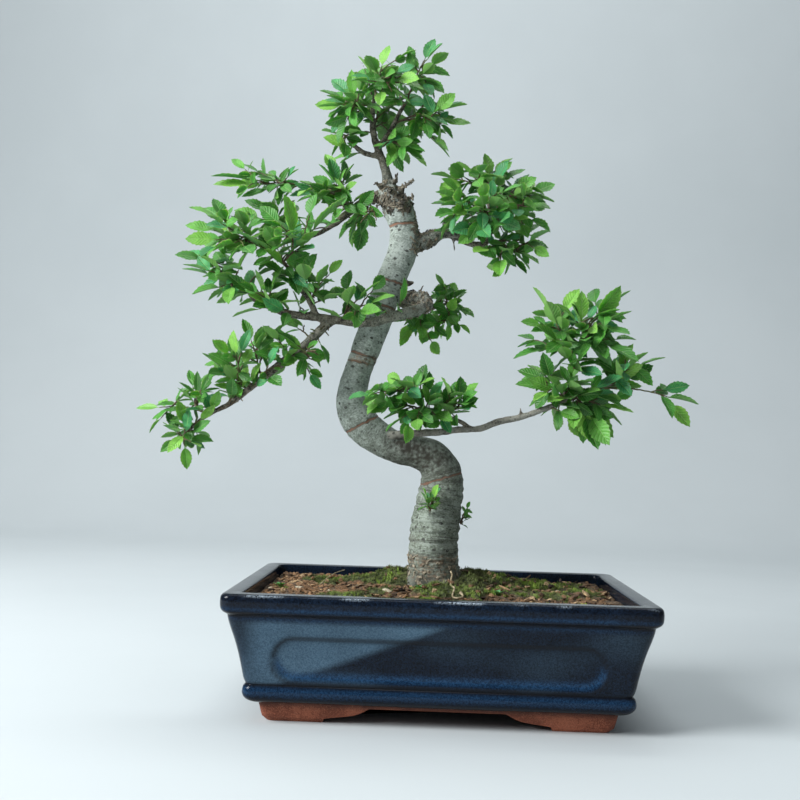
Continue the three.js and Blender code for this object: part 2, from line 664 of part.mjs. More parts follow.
// A growing mesh. A ring is a loop of points that runs clockwise seen along the growth.
class Growth {
  positions = [];

  index = [];

  ring(points) {
    return points.map((point) => {
      this.positions.push(point.x, point.y, point.z);
      return this.positions.length / 3 - 1;
    });
  }

  point(i) {
    return new THREE.Vector3().fromArray(this.positions, 3 * i);
  }

  face(a, b, c) {
    if (a !== b && b !== c && c !== a) this.index.push(a, b, c);
  }

  solid() {
    return solidOf(closedGeometry(this.positions, this.index));
  }

  // One wall between two rings. The lower wall is split as the upper one is.
  wall(from, to, k) {
    const next = (k + 1) % from.length;
    const [a, b, c, d] = [from[k], from[next], to[next], to[k]];
    if (k === 2) {
      this.face(b, c, d);
      this.face(b, d, a);
    } else {
      this.face(a, b, c);
      this.face(a, c, d);
    }
  }

  sleeve(from, to, open = []) {
    from.forEach((_, k) => { if (!open.includes(k)) this.wall(from, to, k); });
  }

  // Whether an edge of the mesh runs through one of its faces.
  crossesItself() {
    const faces = [];
    for (let i = 0; i < this.index.length; i += 3) {
      const ids = this.index.slice(i, i + 3);
      const corners = ids.map((id) => this.point(id));
      faces.push({ ids, corners, box: new THREE.Box3().setFromPoints(corners) });
    }
    const ray = new THREE.Ray();
    const hit = new THREE.Vector3();
    const pierces = (from, to, corners) => {
      const reach = from.distanceTo(to);
      ray.set(from, to.clone().sub(from).normalize());
      return ray.intersectTriangle(...corners, false, hit) !== null && hit.distanceTo(from) < reach;
    };
    return faces.some((face) => faces.some((other) => face.box.intersectsBox(other.box)
      && face.ids.some((id, k) => {
        const next = (k + 1) % 3;
        const apart = !other.ids.includes(id) && !other.ids.includes(face.ids[next]);
        return apart && pierces(face.corners[k], face.corners[next], other.corners);
      })));
  }

  // A ring turned so that its points lie nearest to those of the next ring.
  aligned(ring, target) {
    const turns = ring.map((_, turn) => ring.map((__, i) => ring[(i + turn) % ring.length]));
    const distance = (i, k) => this.point(i).distanceTo(this.point(target[k]));
    const gap = (turned) => turned.reduce((sum, i, k) => sum + distance(i, k), 0);
    return turns.reduce((best, turned) => (gap(turned) < gap(best) ? turned : best));
  }
}

// The points of a leaf blade: rings at its two broad stations, its dip and its tip, on the upper
// and the lower face. A blade is pointed, arched along its length and folded along its midrib.
function bladePoints({ base, along, normal, length, width, arch, fold }, grow = 0) {
  const side = along.clone().cross(normal);
  const half = width / 2 + grow;
  const depth = LEAF_THICKNESS / 2 + grow;
  const reach = length + 2 * grow;
  const place = (share, out, face) => base.clone()
    .addScaledVector(along, share * reach - grow)
    .addScaledVector(side, out * half)
    .addScaledVector(normal, face * depth + Math.abs(out) * fold * half - arch * length * share * share);
  const corners = [[-1, 1], [1, 1], [1, -1], [-1, -1]];
  const ring = ([share, out]) => corners.map(([hand, face]) => place(share, hand * out, face));
  return {
    root: ring([0, 0.55 / half]),
    low: ring(LEAF_LOW),
    high: ring(LEAF_HIGH),
    dip: [place(LEAF_DIP, 0, 1), place(LEAF_DIP, 0, -1)],
    tip: [place(1, 0, 1), place(1, 0, -1)],
  };
}

// Grows a leaf from an open ring of four points.
function growLeaf(growth, opening, leaf, grow = 0) {
  const points = bladePoints(leaf, grow);
  const low = growth.ring(points.low);
  const high = growth.ring(points.high);
  const [dipAbove, dipBelow] = growth.ring(points.dip);
  const [tipAbove, tipBelow] = growth.ring(points.tip);
  growth.sleeve(growth.aligned(opening, low), low);
  growth.sleeve(low, high, [0, 2]);
  for (const [k, dip] of [[0, dipAbove], [2, dipBelow]]) {
    growth.face(low[k], low[k + 1], dip);
    growth.face(low[k + 1], high[k + 1], dip);
    growth.face(high[k + 1], high[k], dip);
    growth.face(high[k], low[k], dip);
  }
  growth.sleeve(high, [tipAbove, tipAbove, tipBelow, tipBelow]);
}

// A leaf by itself, closed at its root.
function blade(leaf, grow = 0) {
  const growth = new Growth();
  const root = growth.ring(bladePoints(leaf, grow).root);
  growth.face(root[0], root[2], root[1]);
  growth.face(root[0], root[3], root[2]);
  growLeaf(growth, root, leaf, grow);
  return growth.solid();
}

// A shoot's middle: from its root it arches up a little and ends where its last leaf starts.
function shootCurve(root, end) {
  const rise = 0.12 * root.distanceTo(end);
  const middle = root.clone().lerp(end, 0.5).add(new THREE.Vector3(0, 0, rise));
  return new THREE.QuadraticBezierCurve3(root, middle, end);
}

// The shoots of a spray: the main one leaves the limb, the others leave it on the way. The leaves
// of a shoot face the light: up, out from the heart of the spray and a little to the front.
function sprayShoots({ limb: name, at, tips, leaf = LEAF_LENGTH, bare = 0 }) {
  const root = vector(LIMBS[name].waypoints[at]);
  const shoots = [];
  tips.map(vector).forEach((tip, k) => {
    const origin = name === 'trunk' ? 0 : Math.max(bare, 0.14) + 0.4 * ((k - 1) / tips.length);
    const start = k === 0 ? root : shoots[0].curve.getPoint(origin);
    const leafLength = Math.min(leaf, 0.7 * start.distanceTo(tip));
    const end = tip.clone().lerp(start, leafLength / tip.distanceTo(start));
    const curve = shootCurve(start, end);
    const outward = tip.clone().sub(root).normalize();
    const light = new THREE.Vector3(0, -0.4, 0.6).addScaledVector(outward, 0.7).normalize();
    const across = curve.getTangent(0.5).cross(light).normalize();
    shoots.push({ tip, curve, leafLength, bare, light, across, isMain: k === 0 });
  });
  return shoots;
}

// The way a shoot grows at a place, and the directions across and above it there.
function shootFrame({ curve, across }, share) {
  const ahead = curve.getTangent(share);
  const right = across.clone().addScaledVector(ahead, -ahead.dot(across)).normalize();
  return { centre: curve.getPoint(share), ahead, right, up: right.clone().cross(ahead) };
}

// Where the leaves of one shoot stand: one at its end, the others in two ranks along it.
function shootLeaves(shoot, random) {
  const { tip, curve, leafLength, bare, light } = shoot;
  const onEnd = tip.clone().sub(curve.getPoint(1)).normalize();
  const sideCount = THREE.MathUtils.clamp(Math.round(curve.getLength() / LEAF_SPACING + 0.2), 0, 4);
  return Array.from({ length: sideCount + 1 }, (_, i) => {
    const [size, swing, roll, droop, slim] = [random(), random(), random(), random(), random()];
    const last = i === sideCount;
    const share = last ? 1 : THREE.MathUtils.lerp(Math.max(bare, 0.4), 0.92, (i + 0.5) / sideCount);
    const { centre, ahead, right } = shootFrame(shoot, share);
    const hand = last ? 0 : (i % 2 ? 1 : -1);
    const angle = last ? 0.15 * (swing - 0.5) : hand * (0.75 + 0.35 * swing);
    const forward = last ? onEnd : ahead;
    const along = forward.clone().multiplyScalar(Math.cos(angle)).addScaledVector(right, Math.sin(angle));
    along.addScaledVector(new THREE.Vector3(0, 0, 1), last ? 0 : -0.25 * droop).normalize();
    const normal = light.clone().addScaledVector(along, -light.dot(along)).normalize();
    normal.applyAxisAngle(along, 1.3 * (roll - 0.5));
    const length = leafLength * (last ? 1.02 : 0.86 + 0.3 * size);
    return {
      share, hand, along, normal, length,
      base: centre,
      width: length * LEAF_WIDTH_RATIO * (0.88 + 0.24 * slim),
      arch: 0.04 + 0.1 * droop,
      fold: 0.22 + 0.16 * size,
    };
  });
}

// A leaf turned about the middle of its shoot.
function turnedLeaf(leaf, { curve }, turn) {
  const tangent = curve.getTangent(leaf.share);
  const turned = (direction) => direction.clone().applyAxisAngle(tangent, turn);
  return { ...leaf, along: turned(leaf.along), normal: turned(leaf.normal) };
}

// A shoot is three sided: its walls face up (the first), right and left of the way it grows.
const [RIGHT_WALL, LEFT_WALL] = [1, 2];

function shootRing(shoot, share, radius) {
  const { centre, right, up } = shootFrame(shoot, share);
  return [[-0.87, 0.5], [0.87, 0.5], [0, -1]].map(([aside, above]) => (
    centre.clone().addScaledVector(right, aside * radius).addScaledVector(up, above * radius)
  ));
}

// Grows one shoot with its leaves. Its root end is closed and lies inside the wood that it leaves.
function leafyShoot(shoot, leaves) {
  const growth = new Growth();
  const length = shoot.curve.getLength();
  const rootRadius = SHOOT_ROOT_RADIUS * (shoot.isMain ? 1 : SIDE_SHOOT_SHARE);
  const ringAt = (share) => {
    const radius = THREE.MathUtils.lerp(rootRadius, SHOOT_TIP_RADIUS, share);
    return growth.ring(shootRing(shoot, share, radius));
  };
  let ring = ringAt(0);
  growth.face(ring[0], ring[2], ring[1]);
  const sideLeaves = leaves.filter(({ hand }) => hand !== 0).sort((a, b) => a.share - b.share);
  for (const leaf of sideLeaves) {
    const near = ringAt(leaf.share - LEAF_ROOT / 2 / length);
    const far = ringAt(leaf.share + LEAF_ROOT / 2 / length);
    const wall = leaf.hand > 0 ? RIGHT_WALL : LEFT_WALL;
    const next = (wall + 1) % 3;
    growth.sleeve(ring, near);
    growth.sleeve(near, far, [wall]);
    growLeaf(growth, [near[wall], near[next], far[next], far[wall]], leaf);
    ring = far;
  }
  const end = ringAt(1);
  growth.sleeve(ring, end);
  const lastLeaf = leaves.find(({ hand }) => hand === 0);
  if (lastLeaf) growLeaf(growth, [...end, end[2]], lastLeaf);
  else growth.face(end[0], end[1], end[2]);
  return growth;
}

// A shoot without leaves, closed at both ends, used to keep leaves clear of it.
function stem(shoot, grow) {
  const rings = [0, 0.33, 0.66, 1].map((share) => shootRing(shoot, share, SHOOT_ROOT_RADIUS + grow));
  return solidOf(loft(rings));
}

// Every spray: its shoots stand first, then the leaves at their ends, then the leaves along them.
// A leaf keeps clear of the wood, of all other shoots and leaves, and of its own shoot.
function leafySprays(woodRoom) {
  const random = randomSource(SEED);
  const sprays = SPRAYS.map((spray) => {
    const shoots = sprayShoots(spray);
    return { name: spray.name, shoots, stems: shoots.map((each) => stem(each, CLEARANCE)) };
  });
  const wanted = sprays.flatMap(({ shoots, stems }) => shoots.flatMap((shoot, own) => (
    shootLeaves(shoot, random).map((leaf) => ({ shoot, stem: stems[own], leaf }))
  )));
  const allStems = sprays.flatMap(({ stems }) => stems);
  const placed = [];
  const leavesOf = (shoot) => placed.filter((each) => each.shoot === shoot).map(({ leaf }) => leaf);
  const isClear = (leaf, shoot, ownStem) => {
    const room = blade(leaf, CLEARANCE);
    const near = placed.filter((each) => each.leaf.base.distanceTo(leaf.base) < 2.2 * LEAF_LENGTH);
    return !overlaps(room, woodRoom)
      && !allStems.some((each) => each !== ownStem && overlaps(room, each))
      && !near.some((each) => overlaps(room, each.body))
      && !leafyShoot(shoot, [...leavesOf(shoot), leaf]).crossesItself();
  };
  const endsFirst = [
    ...wanted.filter(({ leaf }) => leaf.hand === 0),
    ...wanted.filter(({ leaf }) => leaf.hand !== 0),
  ];
  for (const { shoot, stem: ownStem, leaf } of endsFirst) {
    const turned = LEAF_TURNS.map((turn) => turnedLeaf(leaf, shoot, turn))
      .find((each) => isClear(each, shoot, ownStem));
    if (turned) placed.push({ shoot, leaf: turned, body: blade(turned) });
  }
  return sprays.map(({ name, shoots }) => {
    const solids = shoots.map((shoot) => leafyShoot(shoot, leavesOf(shoot)).solid());
    return { name, solid: mainBody(join(solids).subtract(woodRoom)) };
  });
}

// The whole plant in its pot
const woodSolid = wood();
const woodRoom = wood(CLEARANCE);
const pads = [-DRAIN_HOLE_X, DRAIN_HOLE_X];
const pieces = [
  { name: 'pot', solid: pot(), material: 'glaze' },
  { name: 'soil', solid: soil(woodRoom, pads), material: 'soil' },
  { name: 'wood', solid: woodSolid, material: 'bark' },
  { name: 'drain_pad_left', solid: drainPad(pads[0]), material: 'mesh_pad' },
  { name: 'drain_pad_right', solid: drainPad(pads[1]), material: 'mesh_pad' },
  ...leafySprays(woodRoom).map((spray) => ({ ...spray, material: 'leaf' })),
];

const bonsai = new THREE.Group();
for (const { name, solid, material } of pieces) {
  const mesh = new THREE.Mesh(geometryOf(solid), MATERIALS[material]);
  mesh.name = name;
  bonsai.add(mesh);
}
const box = new THREE.Box3().setFromObject(bonsai);
const middle = box.getCenter(new THREE.Vector3());
bonsai.position.set(-middle.x, -middle.y, -box.min.z);

export default bonsai;
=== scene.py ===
import math
import random

import bpy
import numpy as np
from mathutils import Matrix, Quaternion, Vector, noise
from mathutils.bvhtree import BVHTree


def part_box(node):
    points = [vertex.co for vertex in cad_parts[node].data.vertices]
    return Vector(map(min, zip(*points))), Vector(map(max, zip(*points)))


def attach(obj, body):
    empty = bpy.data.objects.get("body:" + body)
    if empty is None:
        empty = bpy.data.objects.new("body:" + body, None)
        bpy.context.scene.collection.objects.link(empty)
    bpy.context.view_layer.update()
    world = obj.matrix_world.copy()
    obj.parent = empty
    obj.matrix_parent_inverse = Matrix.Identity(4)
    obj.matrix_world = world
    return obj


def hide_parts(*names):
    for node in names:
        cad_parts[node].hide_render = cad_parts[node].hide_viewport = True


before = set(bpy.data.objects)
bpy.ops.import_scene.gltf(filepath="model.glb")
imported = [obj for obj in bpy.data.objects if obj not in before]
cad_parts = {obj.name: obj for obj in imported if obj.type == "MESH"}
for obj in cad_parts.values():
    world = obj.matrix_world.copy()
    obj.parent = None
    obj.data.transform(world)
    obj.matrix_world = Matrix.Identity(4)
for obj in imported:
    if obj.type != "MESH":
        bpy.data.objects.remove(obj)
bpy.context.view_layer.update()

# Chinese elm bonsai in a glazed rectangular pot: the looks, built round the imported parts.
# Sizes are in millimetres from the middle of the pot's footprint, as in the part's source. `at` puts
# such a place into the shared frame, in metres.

MM = 0.001
BODY = "root"
POT_LOW, POT_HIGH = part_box("pot")
POT_MIDDLE = (POT_LOW.x + POT_HIGH.x) / 2

# Pot, as in the part
POT_WIDTH = 260
POT_DEPTH = 188
FLOOR_TOP = 16.5
CORNER_RADIUS_AT_BASE = 5.6
CORNER_STEPS = 8
PANEL_WIDTH = 196
PANEL_HEIGHT = 25
PANEL_MIDDLE = 39.7
PANEL_SUNK = 1.9
PANEL_EDGE = 3
PANEL_ZONE = (24, 56)
FOOT_LENGTH_X = 35
FOOT_LENGTH_Y = 28
FOOT_WALL = 16
FOOT_ROUNDING = 0.7
FOOT_CREASE = 40
ARCH_HEIGHT = 9.8
ARCH_STEP = 2.8
ARCH_LEDGE = 14
ARCH_LEDGE_HEIGHT = 4.6
ARCH_CURVE = 14
DRAIN_HOLE_RADIUS = 7
DRAIN_HOLE_X = 62
# How many columns the level edges longer than a length are cut into, as (length, columns)
WALL_COLUMNS = ((100, 13), (10, 9))
# A height or depth between two points, in metres, that counts as none
NO_STEP = 1e-5
# Edges that bend by more than this many degrees stay sharp
POT_CREASE = 38

# The pot's section as [inset from the rim, height]
BEAD_PROFILE = [(22, 12), (17.6, 12.6), (14.6, 14.4), (13, 17.2), (12.9, 19.8), (13.5, 22.2), (14.6, 23.4)]
WALL_PROFILE = [
    (14.2, 24.4), (13.3, 27), (11.9, 34), (10.2, 42), (8.1, 50), (5.9, 57), (4.5, 62), (3.9, 65.2),
]
RIM_PROFILE = [(3, 66), (1.4, 67.2), (0.3, 69), (0, 71.5), (0, 74.4), (0.5, 76.6), (1.8, 77.8), (3.2, 78)]
LIP_PROFILE = [(9.6, 78), (10.9, 77.6), (11.5, 76.4), (11.9, 72)]
CAVITY_PROFILE = [(12.3, 67), (15.5, 52), (18.5, 36), (22.5, 21), (26, FLOOR_TOP)]
PLINTH_PROFILE = [(26.2, 0), (25.6, 0.7), (23.8, 2.6), (21.4, 13)]
# The parts of the pot's section from its bead to its floor, each with the length of its steps
POT_SECTION = [
    (BEAD_PROFILE, 1.4), (WALL_PROFILE, 1.4), (RIM_PROFILE, 0.9), (LIP_PROFILE, 1.4), (CAVITY_PROFILE, 4),
]

# Heights of the edges where the glaze runs thin, of the lip's edge where a highlight is painted, and the line
# on the front left of which a reflection is painted, making the glaze paler
BEAD_FOOT = 13.5
BEAD_EDGE = 23.4
RIM_EDGE = 66.3
LIP_EDGE = 77.2
PAINTED_SHEEN_EDGE = ((-69, 32), (-3, 58))

# Soil, as in the part, and the crumbs and moss on it
SOIL_EDGE_LEVEL = 71
SOIL_SIDE_LEVEL = 67
SOIL_MOUND_HEIGHT = 6
SOIL_MOUND_REACH = 58
SOIL_INSET = 12.6
SOIL_CORNER = 6
SOIL_TAPER = (0.9, 0.86)
SOIL_COLUMNS = 170
SOIL_ROWS = 116
# No crumbs and no moss lie nearer to the trunk's middle than this
TRUNK_FOOT = 17.5
# Sizes of a lump, a chip, a fibre and a grain of grit, and how often each of them is drawn
CRUMB_SIZES = [(2.6, 2.2, 1.8), (4.4, 2.4, 1.1), (6.4, 1, 0.8), (1.6, 1.5, 1.3)]
CRUMB_SHARES = (5, 4, 2, 3)
CRUMB_FIBRE = 2
CRUMB_COUNT = 2500
MOSS_TUFT_COUNT = 3400
# Patches of moss as (x, y, half width, half depth, height)
MOSS_PATCHES = [
    (25, 14, 34, 20, 9), (58, 30, 38, 24, 5), (88, 34, 26, 20, 3), (-29, 14, 26, 18, 8.5),
    (-56, 24, 28, 20, 4.5), (-84, 36, 18, 14, 2.5), (0, 30, 36, 20, 8.5), (6, -34, 26, 24, 4.5),
    (46, -14, 24, 16, 3), (72, -16, 20, 16, 2.4), (-60, -48, 26, 12, 2.4), (-12, -62, 18, 10, 2.2),
    (94, 2, 18, 20, 2.4), (60, -62, 16, 8, 1.8), (-40, -30, 16, 12, 1.6), (-25, -2, 13, 14, 6.5),
    (22, -4, 14, 15, 7), (12, -20, 12, 9, 4),
]
# Tufts of fresh bright moss as (x, y, reach)
BRIGHT_TUFTS = [
    (-105, -5, 5), (35, -29, 8), (92, 9, 9), (-15, -23, 4.5), (-9, -65, 6), (40, -62, 4), (88, -52, 4),
    (-45, -66, 6), (-34, 2, 9), (62, 20, 8), (30, 44, 7), (-70, 40, 6),
]
SEEDLINGS = [(-106, -7, 5.2), (36, -31, 5), (41, -63, 3.6), (-13, -24, 3.8)]
# Pale dry chips on the soil as (x, y, length, width, turn in degrees)
DRY_CHIPS = [
    (-34, -35, 6.4, 3.6, -35), (-95, 3, 6.2, 2.4, 5), (-111, -15, 3, 2.2, 60), (-54, -58, 2.6, 1.9, 20),
    (23, -22, 2.8, 2.2, 75), (48, 14, 3.2, 1.6, 10), (80, 13, 2.8, 2.4, 40), (-72, -20, 2.4, 1.6, 80),
    (-20, 52, 3, 2, 15), (70, -48, 2.6, 1.8, -30), (104, 40, 2.8, 1.7, 25), (-90, 58, 3.4, 2, -20),
]
# Dry stems on the soil as (thickness, then places with their height above the ground)
STRAWS = [
    (0.7, [(-81, 4, 0.4), (-74, 22, 3), (-67, 41, 8)]),
    (0.6, [(66, 36, 0.5), (70, 42, 1.4), (76, 48, 3.4)]),
    (0.6, [(58, -32, 0.5), (63, -18, 0.9), (70, -6, 0.6)]),
    (0.5, [(30, -66, 0.4), (38, -60, 1.2), (45, -58, 0.4)]),
    (0.5, [(-60, -12, 0.4), (-52, -6, 1.5), (-43, -5, 0.5)]),
]
# The thin root that hangs from the trunk's foot and curls on the soil, as (x, y, z)
CURLED_ROOT = [
    (7, -14, 87), (7.7, -18, 85.1), (7, -24, 82.6), (6.9, -32, 79.9), (8.8, -42, 77.6), (7.6, -50, 76),
    (8, -53.5, 75.4), (10.5, -54.5, 75.1), (13.6, -52, 75.4), (14, -48.5, 76.2), (12.4, -46.5, 76.6),
]

# The wood, as in the part. Each limb is a list of waypoints (x, y, z, thickness), root first.
LIMBS = {
    "trunk": [
        (-4, 0, 56, 36), (-4, 0, 66, 36.4), (-4, 0, 77, 36), (-5, 0, 88, 33.6), (-5, 0, 102, 32.6),
        (-4, 1, 116, 33), (-2, 2, 129, 31), (0, 2, 141, 29.6), (-1, 2, 152, 27.6), (-8, 1, 161, 24.4),
        (-19, 0, 165, 21.4), (-32, -1, 167.5, 20.8), (-45, -2, 174, 22.4), (-56, -3, 183, 24),
        (-62, -3, 194, 22), (-62, -3, 206, 19.8), (-59, -3, 219, 18.8), (-55, -3, 231, 19.2),
        (-50, -3, 245, 20), (-45, -1, 260, 19.8), (-41, 0, 275, 19.6), (-35, 1, 290, 19.8),
        (-31, 2, 304, 20.3), (-32, 2, 318, 19.6), (-36, 2, 330, 20.4), (-41, 2, 340, 16), (-43, 2, 347, 10),
    ],
    "leader": [
        (-42, 2, 341, 10.8), (-44, 2, 353, 6.6), (-47, 2, 363, 5.8), (-51, 2, 372, 5.2), (-54, 1, 382, 4.7),
        (-55, 0, 391, 4), (-55, 0, 399, 3.4), (-54, 0, 406, 2.7),
    ],
    "crown_right": [
        (-51, 2, 371, 4.2), (-46, 0, 378, 3.7), (-40, -1, 388, 3.4), (-36, -1, 397, 3), (-32, -1, 404, 2.4),
    ],
    "crown_left": [(-49, 2, 366, 4.2), (-60, 0, 368, 3.5), (-67, -1, 373, 3), (-72, -1, 379, 2.4)],
    "upper_right": [
        (-32, 2, 303, 14), (-22, 4, 307, 12.8), (-13, 6, 311, 10.4), (-6, 8, 315, 8), (2, 9, 315, 5.8),
        (10, 9, 311, 4.9), (18, 7, 308, 4.4), (25, 5, 309, 4.1), (28, 3, 317, 3.7), (27, 1, 327, 3),
        (26, 0, 336, 2.4),
    ],
    "front": [
        (-36, 1, 270, 8), (-25, -1, 269, 8.8), (-17, -5, 268, 8.8), (-14, -12, 263, 8.4),
        (-20, -18, 258, 7.9), (-29, -22, 255, 7.2), (-38, -23, 252, 6.6), (-48, -23, 249, 6.4),
        (-59, -23, 248, 5.9), (-70, -24, 249, 5.6), (-80, -25, 250, 5.8), (-91, -26, 251, 5.5),
        (-103, -27, 252, 5.1), (-116, -28, 256, 4.4), (-124, -29, 259, 3.6), (-129, -30, 263, 2.9),
        (-131, -30, 269, 2.4),
    ],
    "front_up": [
        (-85, -26, 250, 4.5), (-90, -27, 260, 3.9), (-96, -28, 268, 3.6), (-102, -29, 276, 3.2),
        (-106, -30, 283, 2.9), (-111, -30, 288, 2.6), (-117, -31, 293, 2.2),
    ],
    "lower_left": [
        (-75, -24, 249, 5.5), (-82, -26, 243, 6.2), (-90, -27, 234, 6.5), (-100, -28, 225, 6.1),
        (-110, -29, 217, 5.5), (-120, -29, 209, 4.8), (-129, -29, 201, 4.2), (-140, -29, 192, 3.6),
        (-153, -29, 185, 3), (-162, -29, 178, 2.5), (-170, -29, 170, 2.1),
    ],
    "upper_left": [
        (-36, 2, 335, 9.5), (-47, 6, 339, 7.5), (-56, 9, 338, 6.5), (-64, 11, 334, 5.9), (-71, 13, 329, 5.5),
        (-80, 15, 322, 4.5), (-90, 17, 316, 3.5), (-101, 18, 311, 2.4),
    ],
    "upper_left_back": [(-67, 12, 333, 3.8), (-76, 15, 339, 3.1), (-89, 18, 346, 2.5), (-102, 20, 349, 2.1)],
    "right": [
        (-51, -4, 171, 7), (-41, -8, 173, 6), (-29, -11, 176, 5.1), (-16, -14, 177, 5), (-3, -16, 178, 4.7),
        (10, -18, 180, 4.4), (23, -19, 181, 4.3), (36, -20, 186, 4.6), (49, -20, 189, 4.2),
        (62, -20, 194, 3.9), (75, -19, 199, 3.9), (86, -17, 204, 3.3), (98, -16, 209, 3),
        (109, -15, 213, 2.4),
    ],
    "right_up": [
        (75, -19, 199, 3.4), (79, -18, 207, 3), (82, -17, 218, 2.7), (83, -16, 228, 2.6),
        (86, -15, 237, 2.3), (90, -15, 244, 2),
    ],
    "back_right": [
        (-35, 4, 268, 6), (-26, 12, 264, 5), (-16, 20, 264, 4.4), (-8, 27, 267, 3.5), (-1, 32, 270, 2.7),
    ],
    "low_centre": [
        (19, -18, 180, 3.4), (10, -22, 185, 2.9), (1, -25, 188, 2.7), (-8, -28, 189, 2.6),
        (-14, -30, 194, 2.3), (-17, -31, 200, 2),
    ],
}
# Added to the places along each next limb, so that every limb has places of its own
LIMB_SPACING = 1000
WOOD_VOXEL = 0.85
# Where two limbs are less apart than this, the mesh is evened, in so many rounds
JOINT_REACH = 2.2
JOINT_ROUNDS = 7

# Dead stubs: where each one leaves the wood, where it ends, and its thickness there.
STUBS = [
    ((-40, 2, 338), (-26, -3, 349), 4.5), ((-40, 2, 334), (-25, -5, 337), 4),
    ((-38, 2, 330), (-24, 4, 330), 3.6), ((-42, 2, 340), (-52, -7, 346), 4.4),
    ((-41, 2, 336), (-41, -13, 341), 4.6), ((-38, 2, 333), (-31, -13, 331), 4),
    ((-41, 2, 342), (-36, -3, 355), 3.8), ((-40, 2, 337), (-34, 14, 345), 4.4),
    ((-40, 2, 333), (-50, -6, 330), 3.8), ((-32, 2, 276), (-23, -3, 279), 6),
    ((-5, 8, 315), (-4, 6, 327), 3.2), ((1, 9, 315), (4, 10, 304), 3.4),
    ((49, -20, 189), (49, -21, 196), 2.4), ((-54, 0, 402), (-64, -14, 430), 2.2),
]

# Thin rings round the trunk where wire lay, as (middle of the wood, half thickness, rise to the right).
BARK_RINGS = [
    ((-2, 0, 147), 1.1, 0.33), ((-56, 0, 181), 1.0, 0.56), ((-56, -1, 228.5), 0.9, -0.26),
    ((-39, 0, 279), 0.9, -0.24), ((-34, 1, 318), 1.1, 0.15), ((-44, 0, 262), 0.8, -0.25),
    ((-56, -1, 223), 0.7, -0.2),
]
RING_REACH = 22
# Cuts round the lower trunk as (height, half thickness)
TRUNK_CUTS = [(105, 0.8), (117.5, 0.8), (130, 0.8), (111, 0.6), (138, 0.6)]
# Patches of brown, worn bark as (middle, half height, reach round the middle).
BARK_SCARS = [
    ((-54, -10, 225), 3.4, 14), ((-38, -9, 259), 2.4, 9), ((-8, -16, 92), 5, 24), ((-22, -19, 258), 1.2, 6),
    ((-3, -16, 84), 5, 22),
]
ELBOW = (-19, -9, 262)
NOTCH = (-27, -9, 263.5)
COLLAR_LOW = 324
COLLAR_HIGH = 352
# Zones of loose bark as (lowest corner, highest corner, number of flakes, size, tone)
FLAKE_ZONES = [
    ((-60, -20, 325), (-20, 22, 352), 260, 0.85, 0.35), ((-26, -12, 298), (-8, 18, 322), 110, 0.9, 0.4),
    ((-24, -20, 78), (16, 0, 97), 60, 0.9, 0.75), ((-32, -20, 252), (-6, 2, 276), 130, 0.8, 0.4),
    ((-60, 0, 328), (-46, 14, 346), 60, 0.8, 0.4), ((-50, -20, 326), (-22, -4, 340), 60, 1.1, 0.3),
]

